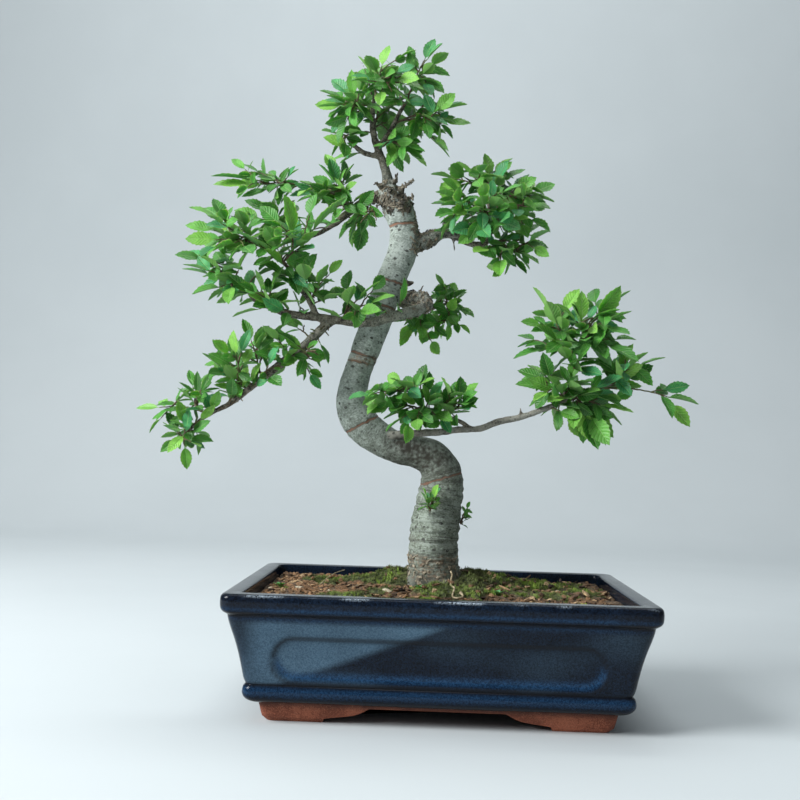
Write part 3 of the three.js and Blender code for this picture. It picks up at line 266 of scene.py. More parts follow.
# Leafy sprays, as in the part: the limb and the waypoint that each one leaves, the points of the leaves
# at its shoots' ends, the main shoot first, and the same points of the shoots that fill it, where a
# fourth number is a leaf's length.
SPRAYS = {
    "crown_top": ("leader", 7, [(-47, 5, 447), (-57, -14, 430), (-71, -10, 421), (-41, -30, 415)], [
        (-58, -26, 428), (-48, 14, 437), (-37, -24, 422), (-23, -28, 411), (-50, -38, 407), (-60, 24, 414),
        (-40, 34, 420), (-56, -24, 407), (-35, -34, 391), (-48, -36, 390),
    ]),
    "crown_peak": ("crown_right", 4, [(-14, 0, 450), (-31, -4, 442), (-6, 8, 442), (-7, -14, 409)], [
        (-9, 12, 422), (-22, 18, 416), (-16, -24, 403), (-6, -12, 412), (-26, -34, 396),
    ]),
    "crown_right": ("crown_right", 2, [(9, 4, 406), (12, -8, 388), (0, 2, 369), (-5, -34, 378)], [
        (1, -20, 404), (8, 14, 396), (-5, 20, 380), (-15, -28, 372), (-29, -36, 390), (-8, -20, 394),
        (-18, -26, 379), (-28, -22, 373), (1, -6, 394), (-38, -24, 375), (11, -4, 393), (6, -8, 403),
        (-1, -12, 368), (-8, -20, 372),
    ]),
    "crown_left": ("leader", 5, [(-84, 6, 423), (-90, -6, 411), (-95, 2, 403), (-73, -34, 390)], [
        (-84, -16, 404), (-87, 8, 392), (-71, -22, 417), (-70, -34, 400), (-86, 14, 414), (-76, 20, 404),
        (-59, -26, 396), (-69, -20, 401), (-80, -10, 394), (-76, -8, 383), (-86, -10, 400), (-83, -6, 382),
        (-79, -8, 372), (-84, -16, 387),
    ]),
    "crown_low_left": ("crown_left", 3, [(-91, 4, 385), (-83, -2, 365), (-71, -20, 360)], [
        (-80, -18, 380), (-83, 10, 368), (-87, -8, 376), (-62, -24, 378), (-72, -22, 386),
    ]),
    "crown_low": ("crown_right", 1, [(-32, -4, 356), (-19, -10, 363), (-30, -34, 363)], [
        (-28, 16, 366), (-39, -32, 378), (-22, -20, 376), (-40, -14, 362), (-16, 2, 362),
    ]),
    "crown_back": ("leader", 4, [(-50, 40, 426), (-29, 40, 405), (-74, 38, 409), (-20, 26, 429)], [
        (-20, 24, 396), (-54, 30, 392), (-38, 40, 400), (-64, 34, 424), (-35, 30, 384),
    ]),
    "upper_left_tip": ("upper_left", 7, [(-151, 20, 333), (-138, 8, 310), (-135, 38, 343)], [
        (-145, 24, 340), (-130, 6, 335), (-124, 26, 324), (-121, -6, 318), (-112, 36, 330), (-110, 0, 326),
        (-103, 2, 328),
    ]),
    "upper_left_top": ("upper_left_back", 3, [
        (-152, 20, 350), (-146, 14, 340), (-138, 40, 352), (-108, 4, 359),
    ], [
        (-166, 6, 355, 30), (-163, 4, 345, 27), (-111, 8, 341), (-95, 36, 350), (-127, 34, 344),
        (-100, -12, 338), (-110, 0, 341), (-96, 0, 345), (-121, 6, 337),
    ]),
    "upper_left_collar": ("upper_left_back", 1, [(-86, 14, 368), (-73, 26, 370), (-66, 2, 348)], [
        (-80, 6, 354), (-69, -6, 345), (-90, -14, 334), (-84, 30, 340), (-80, -12, 342), (-74, 12, 362),
        (-89, 4, 362), (-104, 6, 350), (-77, -4, 346), (-61, 2, 345), (-90, 0, 337), (-71, -8, 332),
        (-82, 0, 326), (-97, 14, 354), (-96, -6, 344), (-64, -12, 338), (-84, -10, 352, 22), (-85, -6, 340),
        (-77, -16, 331), (-61, -10, 329), (-98, -10, 332), (-87, -14, 324),
    ]),
    "upper_left_hanging": ("upper_left", 2, [(-63, 14, 303), (-44, -16, 307), (-79, 28, 315)], [
        (-56, -10, 318), (-72, -6, 318), (-84, 10, 326), (-50, 20, 322), (-96, 22, 318), (-70, 26, 308),
        (-70, -16, 321), (-51, -8, 323), (-63, -14, 315), (-101, -14, 321), (-90, -14, 314),
    ]),
    "left_far": ("front_up", 6, [(-173, -30, 311), (-171, -40, 299), (-166, -16, 325), (-150, -56, 290)], [
        (-150, -20, 318), (-140, -14, 302), (-135, -50, 316), (-149, -34, 312), (-132, -40, 300),
        (-145, -40, 293), (-154, -30, 299),
    ]),
    "left_middle": ("front_up", 4, [(-137, -46, 304), (-84, -42, 305), (-101, -34, 325), (-120, -60, 280)], [
        (-99, -36, 286), (-115, -50, 290), (-106, -16, 296), (-124, -16, 288), (-117, -50, 307, 24),
        (-101, -52, 325, 32), (-112, -8, 310), (-124, -34, 322), (-92, -30, 306), (-126, -46, 298),
        (-120, -44, 283), (-111, -40, 278), (-107, -30, 285),
    ]),
    "left_low": ("front", 16, [(-175, -28, 282), (-166, -38, 264), (-175, -12, 297), (-141, -52, 256)], [
        (-150, -40, 272), (-155, -16, 266), (-121, -44, 272), (-140, -10, 274), (-160, -44, 288),
        (-136, -34, 280), (-134, -44, 282), (-132, -30, 296), (-157, -36, 283), (-141, -40, 276),
    ]),
    "left_under": ("front", 13, [(-142, -26, 252), (-117, -60, 265), (-139, -4, 284)], [
        (-108, -46, 280), (-98, -8, 272), (-120, -12, 262), (-104, -40, 266), (-128, -44, 270),
        (-123, -42, 279), (-115, -44, 288), (-95, -40, 262), (-84, -36, 256), (-119, -44, 258),
        (-110, -46, 254), (-101, -44, 259), (-128, -40, 264), (-107, -36, 268),
    ]),
    "left_near": ("front_up", 1, [(-77, -48, 283), (-93, -62, 280), (-73, -8, 276)], [
        (-88, -12, 280), (-78, -32, 274), (-91, -46, 268), (-81, -8, 262), (-68, -38, 266), (-64, -16, 270),
        (-86, -40, 290), (-103, -34, 270), (-89, -36, 268), (-79, -38, 261), (-71, -38, 257),
        (-68, -50, 326, 33), (-95, -44, 264), (-85, -42, 259), (-79, -40, 255), (-73, -38, 260),
        (-90, -36, 270),
    ]),
    "trunk_front": ("front", 9, [(-47, -36, 276), (-35, -38, 267), (-43, -46, 255)], [
        (-54, -34, 268), (-58, -12, 262), (-28, -34, 276), (-62, -44, 270), (-69, -30, 265),
    ]),
    "lower_left_tip": ("lower_left", 10, [
        (-165, -28, 149), (-183, -36, 161), (-186, -20, 180), (-151, -44, 163),
    ], [
        (-172, -18, 164), (-176, -42, 160), (-160, -18, 158), (-182, -26, 186), (-150, -30, 168),
        (-176, -10, 170), (-168, -48, 176), (-164, -36, 187), (-170, -34, 193), (-152, -34, 182),
    ]),
    "lower_left_far": ("lower_left", 8, [(-203, -22, 190), (-171, -42, 202), (-171, -10, 216)], [
        (-160, -36, 212), (-160, -8, 198), (-166, -44, 188), (-150, -46, 212), (-155, -10, 172),
        (-146, -40, 180), (-148, -36, 191), (-138, -36, 188), (-156, -30, 197), (-159, -34, 213),
        (-154, -40, 193), (-163, -30, 204), (-148, -40, 203),
    ]),
    "lower_left_middle": ("lower_left", 6, [
        (-157, -36, 225), (-155, -14, 236), (-137, -48, 237), (-136, -22, 178),
    ], [
        (-128, -40, 240), (-140, -20, 234), (-151, -44, 224), (-133, -46, 192), (-131, -10, 203),
        (-146, -8, 222), (-122, -42, 226), (-150, -28, 230), (-151, -30, 219), (-138, -40, 197),
        (-141, -38, 187), (-131, -36, 193), (-134, -44, 207), (-140, -42, 218), (-130, -34, 216),
        (-131, -40, 186), (-143, -40, 199), (-126, -36, 196), (-131, -30, 211), (-163, -30, 204),
        (-156, -34, 212), (-148, -40, 200), (-156, -44, 193), (-135, -40, 194),
    ]),
    "lower_left_inner": ("lower_left", 5, [(-133, -24, 249), (-104, -48, 205), (-119, -6, 237)], [
        (-109, -16, 248), (-119, -44, 238), (-99, -42, 246), (-115, -14, 212), (-112, -44, 210),
        (-124, -22, 244), (-120, -36, 243), (-110, -44, 230), (-118, -12, 242), (-108, -38, 222),
        (-120, -40, 218),
    ]),
    "lower_left_near": ("lower_left", 3, [(-71, -38, 218), (-85, -10, 212), (-72, -52, 229)], [
        (-89, -8, 246), (-79, -40, 230), (-102, -48, 218), (-98, -12, 236), (-88, -42, 240), (-66, -28, 228),
        (-76, -14, 244), (-104, -40, 238), (-91, -40, 233), (-80, -36, 228), (-75, -34, 221),
        (-97, -40, 224), (-68, -34, 219), (-89, -20, 243), (-107, -46, 239), (-96, -46, 241),
        (-86, -44, 236), (-78, -40, 228), (-94, -44, 230), (-109, -10, 252), (-92, -8, 250),
        (-117, -44, 244), (-74, -40, 218), (-82, -44, 221),
    ]),
    "upper_right_top": ("upper_right", 10, [(25, 2, 371), (38, -10, 362), (5, -16, 360), (-13, 4, 358)], [
        (13, 14, 364), (40, 12, 360), (-1, -14, 357), (30, 26, 360), (44, 10, 361), (34, 20, 362),
        (50, 0, 360),
    ]),
    "upper_right_left": ("upper_right", 9, [(-9, -18, 340), (-13, 10, 339), (-9, -26, 321)], [
        (-8, 8, 350), (-3, 18, 320), (-7, -10, 332), (3, -32, 338), (4, 24, 340), (-4, -20, 348),
        (-7, -14, 315), (3, -24, 321), (-8, -6, 310), (-3, -14, 316), (2, -10, 305),
    ]),
    "upper_right_far": ("upper_right", 9, [(56, -8, 353), (71, 6, 352), (65, -22, 329), (69, -2, 318)], [
        (57, -18, 354), (64, 12, 344), (64, -18, 330), (54, 22, 322), (70, -6, 338), (47, -34, 340),
        (52, 6, 358), (58, 12, 355), (66, 8, 340),
    ]),
    "upper_right_low": ("upper_right", 7, [(68, 6, 309), (60, -14, 294), (52, -4, 287), (35, -20, 283)], [
        (62, -6, 306), (55, -10, 290), (41, 10, 288), (38, -28, 300), (66, -14, 316), (50, 18, 304),
        (28, 14, 292),
    ]),
    "upper_right_back": ("upper_right", 8, [(39, 38, 358), (55, 38, 337), (11, 34, 348), (45, 30, 311)], [
        (21, 16, 303), (36, 34, 324), (15, 34, 324), (48, 30, 348), (26, 40, 350),
    ]),
    "upper_right_front": ("upper_right", 8, [(18, -38, 331), (38, -40, 318), (3, -24, 310)], [
        (7, -16, 304), (20, -40, 342), (33, -38, 330), (30, -40, 312), (10, -36, 322), (44, -32, 312),
        (13, -20, 305), (23, -30, 307),
    ]),
    "middle_right_tip": ("back_right", 4, [(6, 40, 287), (20, 30, 262), (2, 32, 244), (-8, 22, 291)], [
        (5, 18, 272), (15, 36, 264), (6, 18, 255), (-4, 40, 246), (-8, 12, 262), (-2, 24, 286),
        (-10, 46, 278), (12, 24, 280), (10, 44, 252), (-5, 26, 286), (-12, 16, 276), (-1, 30, 276),
        (-8, 24, 245), (-16, 20, 287),
    ]),
    "middle_right_low": ("back_right", 2, [(-16, 22, 240), (-32, 16, 238), (-23, 34, 289)], [
        (-26, 20, 286), (-12, 16, 290), (-15, 36, 240), (-32, 30, 250), (-22, 40, 264), (-24, 14, 248),
        (-22, 16, 249), (-33, 10, 269), (-36, 12, 255), (-25, 18, 246), (-16, 24, 282), (-7, 28, 279),
        (-18, 26, 250), (-32, 14, 242), (-1, 30, 257),
    ]),
    "low_centre_top": ("low_centre", 5, [
        (-15, -28, 222), (-34, -44, 212), (-62, -44, 199), (-47, -34, 205),
    ], [
        (-49, -36, 206), (-40, -26, 213), (-30, -46, 210), (-29, -54, 198), (-20, -12, 212), (-54, -30, 196),
        (-8, -44, 212), (-13, -40, 207), (-10, -34, 216), (-20, -44, 200), (-18, -38, 212),
    ]),
    "low_centre_right": ("low_centre", 2, [(20, -22, 212), (21, -36, 199), (0, -44, 212)], [
        (-4, -38, 210), (9, -30, 214), (19, -38, 206), (16, -24, 193), (3, -14, 200), (12, -44, 196),
        (4, -42, 186), (-7, -40, 204), (-2, -38, 197), (3, -32, 208), (-10, -44, 196), (8, -38, 202),
    ]),
    "low_centre_left": ("low_centre", 4, [(-38, -46, 179), (-19, -56, 178), (-52, -26, 196)], [
        (-9, -44, 182), (-26, -22, 186), (-35, -48, 190), (-13, -50, 196), (-40, -34, 186), (-44, -50, 198),
        (-18, -40, 190), (-28, -44, 200),
    ]),
    "right_top": ("right_up", 5, [(87, -16, 274), (119, -14, 277), (118, -32, 260), (107, 6, 264)], [
        (72, -30, 265, 22), (114, -20, 276, 29), (94, 0, 262), (100, -38, 250), (112, -4, 256),
        (84, -28, 266), (101, -34, 233), (105, -26, 251), (109, -28, 241), (95, -34, 246), (110, -30, 262),
    ]),
    "right_left": ("right_up", 3, [(59, -8, 278), (59, -32, 248), (44, -14, 231), (75, 12, 259)], [
        (64, -26, 266), (74, -2, 266), (64, -4, 250), (72, -34, 256), (73, -38, 235), (81, -40, 239),
        (72, -34, 245), (85, -34, 254), (66, -34, 232), (80, -30, 264),
    ]),
    "right_middle": ("right_up", 1, [(46, -26, 212), (55, -8, 199), (57, 8, 228)], [
        (107, -46, 231, 27), (122, -40, 229, 25), (60, -44, 221, 20), (79, -42, 245, 25), (92, -46, 214, 25),
        (62, -34, 230), (71, -40, 240), (87, -44, 240), (104, 8, 238), (55, -28, 216), (48, -10, 222),
        (80, 6, 234), (91, -38, 236), (78, -42, 224), (88, -42, 221), (98, -38, 220), (75, -42, 213),
        (84, -44, 210), (65, -36, 218),
    ]),
    "right_tip": ("right", 13, [(137, -16, 224), (128, -36, 234), (124, 4, 241)], [
        (113, -36, 244), (117, -6, 234), (127, -24, 226), (121, 0, 214), (112, -38, 226), (120, -20, 240),
        (130, -8, 214), (112, -30, 218), (118, -34, 212),
    ]),
    "right_long": ("right", 12, [(166, -18, 204), (160, -16, 214), (160, -20, 187)], []),
    "right_low": ("right", 11, [(96, -20, 175), (109, -8, 174), (82, -36, 183), (121, -30, 195)], [
        (102, 2, 182), (105, -34, 174, 27), (89, -36, 188), (114, -32, 200), (90, -6, 178), (118, -14, 188),
        (98, -28, 170, 28), (84, -20, 182, 26), (110, -20, 178, 27), (94, -16, 174, 24),
    ]),
    "right_under": ("right", 10, [(73, -6, 182), (62, -46, 194), (90, -44, 226)], [
        (75, 6, 192), (85, -44, 218), (68, -40, 212), (101, -42, 218), (95, 12, 202), (72, -30, 188),
        (96, -40, 208), (79, -42, 201), (66, -36, 202),
    ]),
    "trunk_sprout": ("trunk", 6, [(0, -25, 144), (-13, -23, 139), (-7, -25, 121)], [
        (-4, -31, 143, 10), (-9, -30, 136, 9), (0, -30, 134, 11), (-7, -31, 125, 11), (-12, -29, 141, 9),
        (1, -28, 139, 9), (-10, -29, 129, 9), (-4, -33, 130, 9),
    ]),
    "trunk_sprout_right": ("trunk", 6, [(19, -2, 122), (19, -4, 134)], [
        (18, -6, 128), (18, -2, 115), (19, 0, 128),
    ]),
}
LEAF_LENGTH = 19
# Leaf lengths of the sprays that differ, by the start of their names
SPRAY_LEAF_LENGTHS = {
    "trunk_sprout_right": 6.5, "trunk_sprout": 10, "middle_right": 12.5, "low_centre": 14.5, "lower_left": 16,
    "upper_right": 16.5, "crown": 17.5, "right_low": 22, "right_long": 21, "right": 20,
}
SPROUT_TONES = {"trunk_sprout": (0.45, 1), "trunk_sprout_right": (0, 0.3)}
SPROUT_ROOTS = {"trunk_sprout": (-8, -17, 127), "trunk_sprout_right": (12.5, -4, 118)}
BARE_SHARES = {"right_long": 0.78, "crown_peak": 0.35, "upper_left_top": 0.3}
SLIM_SPRAYS = ("upper_left_top", "lower_left_far")
SLIM = 0.72
BROAD_SPRAYS = ("low_centre", "middle_right", "upper_right")
BROAD = 1.22
BIG_LEAF = 28
# The share of the leaves that are of a cooler green
COOL_LEAVES = 0.14
LEAF_WIDTH_RATIO = 0.5
LEAF_GAP = 0.3
LEAF_ROWS = 15
# The stalk's points as (place along the leaf, half width)
LEAF_STALK = ((0.0, 0.0), (0.02, 0.07), (0.09, 0.08))
LEAF_WIDEST = 0.48
LEAF_TOOTH = 0.12
LEAF_CREASE = 32
SPRAY_MARGIN = 9
LEAF_TURNS = (0, 0.4, -0.4, 0.8, -0.8)
SIDE_TWIG_LENGTHS = (0.35, 0.85)
SIDE_TWIG_RADIUS = 0.55
TOUCHING_FACES_ALLOWED = 10
SHOOT_ROOT_RADIUS = 0.8
SHOOT_TIP_RADIUS = 0.35
SEED = 2718

# The camera that took the photograph: its place, the way it looks and the length of its lens
CAMERA_PLACE = (-9.2, -708.0, 160.4)
CAMERA_RIGHT = (0.99914328, 0.02798037, 0.03049266)
CAMERA_UP = (-0.02890083, -0.05563223, 0.99803296)
CAMERA_AHEAD = (-0.02962171, 0.99805919, 0.05477591)
LENS_LENGTH = 47.26
FILM_WIDTH = 36

# The paper sweep and the lights, in metres. A light is (name, place, target, size, power, colour).
SWEEP_SIZE = (9, 3.6, 1)
SWEEP_MIDDLE = (0, -0.6, 0)
SWEEP_RADIUS = 0.7
SWEEP_STEPS = 16
BACKDROP_HEIGHT = 3.5
LIGHTS = [
    ("window", (-1.35, -0.75, 1.0), (0, 0, 0.22), (0.8, 0.8), 46, (0.97, 0.99, 1.0)),
    ("top_fill", (-0.1, -0.1, 1.9), (0, 0, 0.2), (1.5, 1.3), 10, (0.96, 0.99, 1.0)),
    ("right_fill", (1.5, -0.9, 0.7), (0, 0, 0.2), (1.2, 1.2), 0.8, (0.96, 0.98, 1.0)),
    ("backdrop_wash", (0, 0.7, 2.6), (0, 1.9, 0.6), (1.5, 0.6), 21, (0.96, 0.99, 1.0)),
]
ROOM_COLOUR = (0.86, 0.93, 1.0, 1)
ROOM_STRENGTH = 0.18


# Small tools

def at(x, y, z):
    """A place given in millimetres from the middle of the pot, in the shared frame."""
    return Vector((x * MM + POT_MIDDLE, y * MM, z * MM))


def in_mm(place):
    """A place in the shared frame, in millimetres from the middle of the pot."""
    return (place.x - POT_MIDDLE) / MM, place.y / MM, place.z / MM


def lerp(a, b, share):
    return a + (b - a) * share


def clamp(value):
    return min(1.0, max(0.0, value))


def ease(value, low, high):
    """0 below low, 1 above high, and a soft step between them."""
    share = clamp((value - low) / (high - low))
    return share * share * (3 - 2 * share)


def bell(*offsets):
    """1 where all offsets are 0, and almost 0 where one of them is past 2."""
    return math.exp(-sum(offset**2 for offset in offsets))


def start_modelling():
    """Leaves edit mode and selects nothing."""
    if bpy.context.object and bpy.context.object.mode != "OBJECT":
        leave_edit()
    bpy.ops.object.select_all(action="DESELECT")


def activate(obj):
    start_modelling()
    obj.select_set(True)
    bpy.context.view_layer.objects.active = obj


def edit(obj, select="SELECT", kind="VERT"):
    activate(obj)
    bpy.ops.object.mode_set(mode="EDIT")
    bpy.ops.mesh.select_mode(type=kind)
    bpy.ops.mesh.select_all(action=select)


def leave_edit():
    bpy.ops.object.mode_set(mode="OBJECT")


def add_primitive(operator, name, **settings):
    """Adds a primitive shape by the given operator of Blender's."""
    start_modelling()
    operator(**settings)
    obj = bpy.context.object
    obj.name = name
    return obj


def extrude(x, y, z):
    """Extrudes what is selected, by metres."""
    bpy.ops.mesh.extrude_region_move(TRANSFORM_OT_translate={"value": (x, y, z)})


def apply_modifier(obj, kind, **settings):
    activate(obj)
    modifier = obj.modifiers.new(kind.lower(), kind)
    for name, value in settings.items():
        setattr(modifier, name, value)
    bpy.ops.object.modifier_apply(modifier=modifier.name)


def apply_place(obj):
    activate(obj)
    bpy.ops.object.transform_apply(location=True, rotation=True, scale=True)


def shade_smooth(obj, angle=None):
    """Smooth shading all over, or only over edges that bend by less than this angle in degrees."""
    activate(obj)
    if angle:
        bpy.ops.object.shade_smooth_by_angle(angle=math.radians(angle))
    else:
        bpy.ops.object.shade_smooth()


def join(objects, name):
    start_modelling()
    for obj in objects:
        obj.select_set(True)
    bpy.context.view_layer.objects.active = objects[0]
    bpy.ops.object.join()
    objects[0].name = name
    return objects[0]


def close_mesh(obj):
    """Merges doubled points and turns all faces outwards."""
    edit(obj)
    bpy.ops.mesh.remove_doubles(threshold=1e-6)
    bpy.ops.mesh.normals_make_consistent(inside=False)
    leave_edit()


def finish_piece(obj, slot, *nodes):
    """A finished piece rides on the body and stands for its CAD nodes."""
    start_modelling()
    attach(obj, BODY)
    if nodes:
        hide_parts(*nodes)


def new_object(name, data):
    obj = bpy.data.objects.new(name, data)
    bpy.context.scene.collection.objects.link(obj)
    return obj


def mesh_piece(name, points, faces, material):
    mesh = bpy.data.meshes.new(name)
    mesh.from_pydata(points, [], faces)
    mesh.materials.append(material)
    return new_object(name, mesh)


def set_values(mesh, **values_by_name):
    """Stores values, or vectors, for the points of a mesh."""
    for name, values in values_by_name.items():
        numbers = np.asarray(values, np.float32)
        kind, field = ("FLOAT", "value") if numbers.ndim == 1 else ("FLOAT_VECTOR", "vector")
        mesh.attributes.new(name, kind, "POINT").data.foreach_set(field, numbers.ravel())


def set_face_values(mesh, name, values):
    mesh.attributes.new(name, "FLOAT", "FACE").data.foreach_set("value", values)


def random_turns(draw, most_tilt):
    """A turn about the upright, and a lean to any side."""
    turn = Quaternion((0, 0, 1), draw.uniform(0, 2 * math.pi))
    tilt = Quaternion((draw.uniform(-1, 1), draw.uniform(-1, 1), 0), draw.uniform(0, most_tilt))
    return turn, tilt


def placement(place, turn, size):
    return Matrix.Translation(place) @ turn.to_matrix().to_4x4() @ Matrix.Scale(size, 4)


# Shader tools

class Nodes:
    """Adds nodes to a tree. An input is a number, a colour of three numbers or a node's output."""

    def __init__(self, tree):
        self.tree = tree

    def put(self, value, socket):
        if isinstance(value, bpy.types.NodeSocket):
            self.tree.links.new(value, socket)
        else:
            socket.default_value = (*value, 1) if socket.type == "RGBA" else value

    def add(self, kind, inputs=None, **settings):
        node = self.tree.nodes.new("ShaderNode" + kind)
        for name, value in settings.items():
            setattr(node, name, value)
        for name, value in (inputs or {}).items():
            self.put(value, node.inputs[name])
        return node

    def math(self, operation, *values, **settings):
        return self.add("Math", dict(enumerate(values)), operation=operation, **settings).outputs[0]

    def times(self, first, second):
        return self.math("MULTIPLY", first, second)

    def plus(self, first, second):
        return self.math("ADD", first, second)

    def minus(self, first, second):
        return self.math("SUBTRACT", first, second)

    def mix(self, share, first, second, blend="MIX"):
        inputs = {0: share, 6: first, 7: second}
        return self.add("Mix", inputs, data_type="RGBA", blend_type=blend).outputs[2]

    def over(self, colour, tint, mask, strength=None):
        """A colour with another one laid over it where the mask is 1."""
        return self.mix(self.times(mask, strength) if strength else mask, colour, tint)

    def step(self, value, low, high):
        """0 below low and 1 above high, softly."""
        inputs = {"Value": value, "From Min": low, "From Max": high}
        return self.add("MapRange", inputs, interpolation_type="SMOOTHSTEP").outputs[0]

    def noise(self, place, scale, detail=2, roughness=0.5, distortion=0):
        return self.add("TexNoise", {
            "Vector": place, "Scale": scale, "Detail": detail, "Roughness": roughness,
            "Distortion": distortion,
        }).outputs["Fac"]

    def parts(self, place):
        return self.add("SeparateXYZ", {"Vector": place}).outputs

    def value(self, name, output="Fac"):
        """What a piece's points or faces store under this name."""
        return self.add("Attribute", attribute_name=name).outputs[output]

    def group(self, group, **inputs):
        inputs = {name.replace("_", " "): value for name, value in inputs.items()}
        return self.add("Group", inputs, node_tree=group).outputs


class Effect(Nodes):
    """A shader node group with named inputs, which come with their start values, and named outputs."""

    def __init__(self, name, outputs, **inputs):
        super().__init__(bpy.data.node_groups.new(name, "ShaderNodeTree"))
        new_socket = self.tree.interface.new_socket
        new_socket("Vector", in_out="INPUT", socket_type="NodeSocketVector")
        for title, value in inputs.items():
            kind = "NodeSocketColor" if isinstance(value, tuple) else "NodeSocketFloat"
            new_socket(title.replace("_", " "), in_out="INPUT", socket_type=kind).default_value = value
        for title in outputs:
            kind = "NodeSocketColor" if title == "Color" else "NodeSocketFloat"
            new_socket(title, in_out="OUTPUT", socket_type=kind)
        self.given = self.tree.nodes.new("NodeGroupInput").outputs
        self.out = self.tree.nodes.new("NodeGroupOutput").inputs

    def finished(self, **results):
        for title, value in results.items():
            self.put(value, self.out[title])
        return self.tree


class Look(Nodes):
    """A material with a Principled shader. Values that are the same all over are set on its sockets."""

    def __init__(self, name, **values):
        self.material = bpy.data.materials.new(name)
        self.material.use_nodes = True
        super().__init__(self.material.node_tree)
        self.shader = self.tree.nodes["Principled BSDF"].inputs
        for title, value in values.items():
            self.shader[title.replace("_", " ")].default_value = value
        self.place = self.add("TexCoord").outputs["Object"]

    def uneven(self, dark, light, scale, fleck_scale, flecks, place=None):
        """The clouds and flecks of the shared uneven colour, sized by their scales."""
        return self.group(
            UNEVEN, Vector=place or self.place, Scale=scale, Fleck_Scale=fleck_scale, Flecks=flecks,
            Dark=dark, Light=light,
        )

    def speckled(self, colour, *uneven):
        """A colour made a little darker and lighter from place to place."""
        return self.mix(1, colour, self.uneven(*uneven)["Color"], "MULTIPLY")

    def specks(self, scale, size, amount, place=None):
        return self.group(SPECKS, Vector=place or self.place, Scale=scale, Size=size, Amount=amount)["Mask"]

    def bump(self, height, strength, depth):
        inputs = {"Height": height, "Strength": strength, "Distance": depth}
        self.put(self.add("Bump", inputs).outputs[0], self.shader["Normal"])

    def grain(self, scale, fine, strength, depth):
        """The shared fine relief over the whole surface."""
        self.bump(self.group(GRAIN, Vector=self.place, Scale=scale, Fine=fine)["Height"], strength, depth)

    def finished(self, colour, roughness=None):
        self.put(colour, self.shader["Base Color"])
        if roughness:
            self.put(roughness, self.shader["Roughness"])
        return self.material


# Shared effects

def uneven_group():
    """A soft cloudy change between a dark and a light colour, with finer flecks in it."""
    effect = Effect(
        "Uneven Colour", ("Color", "Value"),
        Scale=100.0, Fleck_Scale=800.0, Flecks=0.4, Dark=(0, 0, 0, 1), Light=(1, 1, 1, 1),
    )
    given = effect.given
    clouds = effect.noise(given["Vector"], given["Scale"], 4, 0.55)
    flecks = effect.noise(given["Vector"], given["Fleck Scale"])
    lean = effect.times(effect.minus(flecks, 0.5), given["Flecks"])
    value = effect.step(effect.plus(clouds, lean), 0.3, 0.7)
    return effect.finished(Color=effect.mix(value, given["Dark"], given["Light"]), Value=value)


def speck_group():
    """Small round specks, spread unevenly."""
    effect = Effect("Specks", ("Mask",), Scale=400.0, Size=0.2, Amount=0.5)
    given = effect.given
    cells = effect.add("TexVoronoi", {"Vector": given["Vector"], "Scale": given["Scale"]}).outputs
    near = effect.math("LESS_THAN", cells["Distance"], given["Size"])
    chosen = effect.add("SeparateColor", {"Color": cells["Color"]}).outputs[0]
    kept = effect.math("LESS_THAN", chosen, given["Amount"])
    return effect.finished(Mask=effect.times(near, kept))


def grain_group():
    """A fine rough relief of two sizes."""
    effect = Effect("Grain", ("Height",), Scale=500.0, Fine=0.5)
    given = effect.given
    coarse = effect.noise(given["Vector"], given["Scale"], 5, 0.6)
    fine = effect.noise(given["Vector"], effect.times(given["Scale"], 4))
    return effect.finished(Height=effect.plus(coarse, effect.times(fine, given["Fine"])))


UNEVEN = uneven_group()
SPECKS = speck_group()
GRAIN = grain_group()


# Materials

def glaze_material():
    """Navy glaze: finely mottled and glossy, blue where it pools, black-brown where it runs thin, with a
    painted shadow along the panel's upper edge, a painted reflection on the front left and a painted
    highlight along the lip.
    """
    look = Look("navy_glaze", Roughness=0.13, IOR=1.5, Specular_IOR_Level=0.17)
    mottle = look.uneven((0.002, 0.0034, 0.0065), (0.009, 0.018, 0.036), 900, 2600, 1)
    pooled = look.uneven((0.72, 0.74, 0.8), (1.2, 1.2, 1.2), 24, 210, 0.4)
    colour = look.mix(1, mottle["Color"], pooled["Color"], "MULTIPLY")
    # Paler grey-blue for the painted reflection on the front left and for faint clouds of milky glaze
    pale = look.mix(mottle["Value"], (0.058, 0.112, 0.168), (0.105, 0.185, 0.26))
    colour = look.over(colour, pale, look.value("glaze_pale"), 0.85)
    blue = look.mix(mottle["Value"], (0.005, 0.021, 0.052), (0.02, 0.072, 0.165))
    colour = look.over(colour, blue, look.value("glaze_pool"), 0.85)
    # Black-brown where the glaze runs thin, and a painted shadow along the panel's upper edge
    colour = look.over(colour, (0.005, 0.005, 0.0065), look.value("glaze_thin"))
    pins = look.specks(150, 0.07, 0.04)
    colour = look.over(colour, (0.25, 0.3, 0.36), pins, 0.4)
    # A painted highlight along the lip's outer edge, broken in spots
    painted_lip_glint = look.times(look.value("glaze_edge"), look.step(mottle["Value"], 0.25, 0.6))
    colour = look.over(colour, (0.42, 0.5, 0.58), painted_lip_glint)
    look.grain(420, 0.3, strength=0.12, depth=0.0003)
    return look.finished(colour, look.plus(0.1, look.times(pooled["Value"], 0.08)))


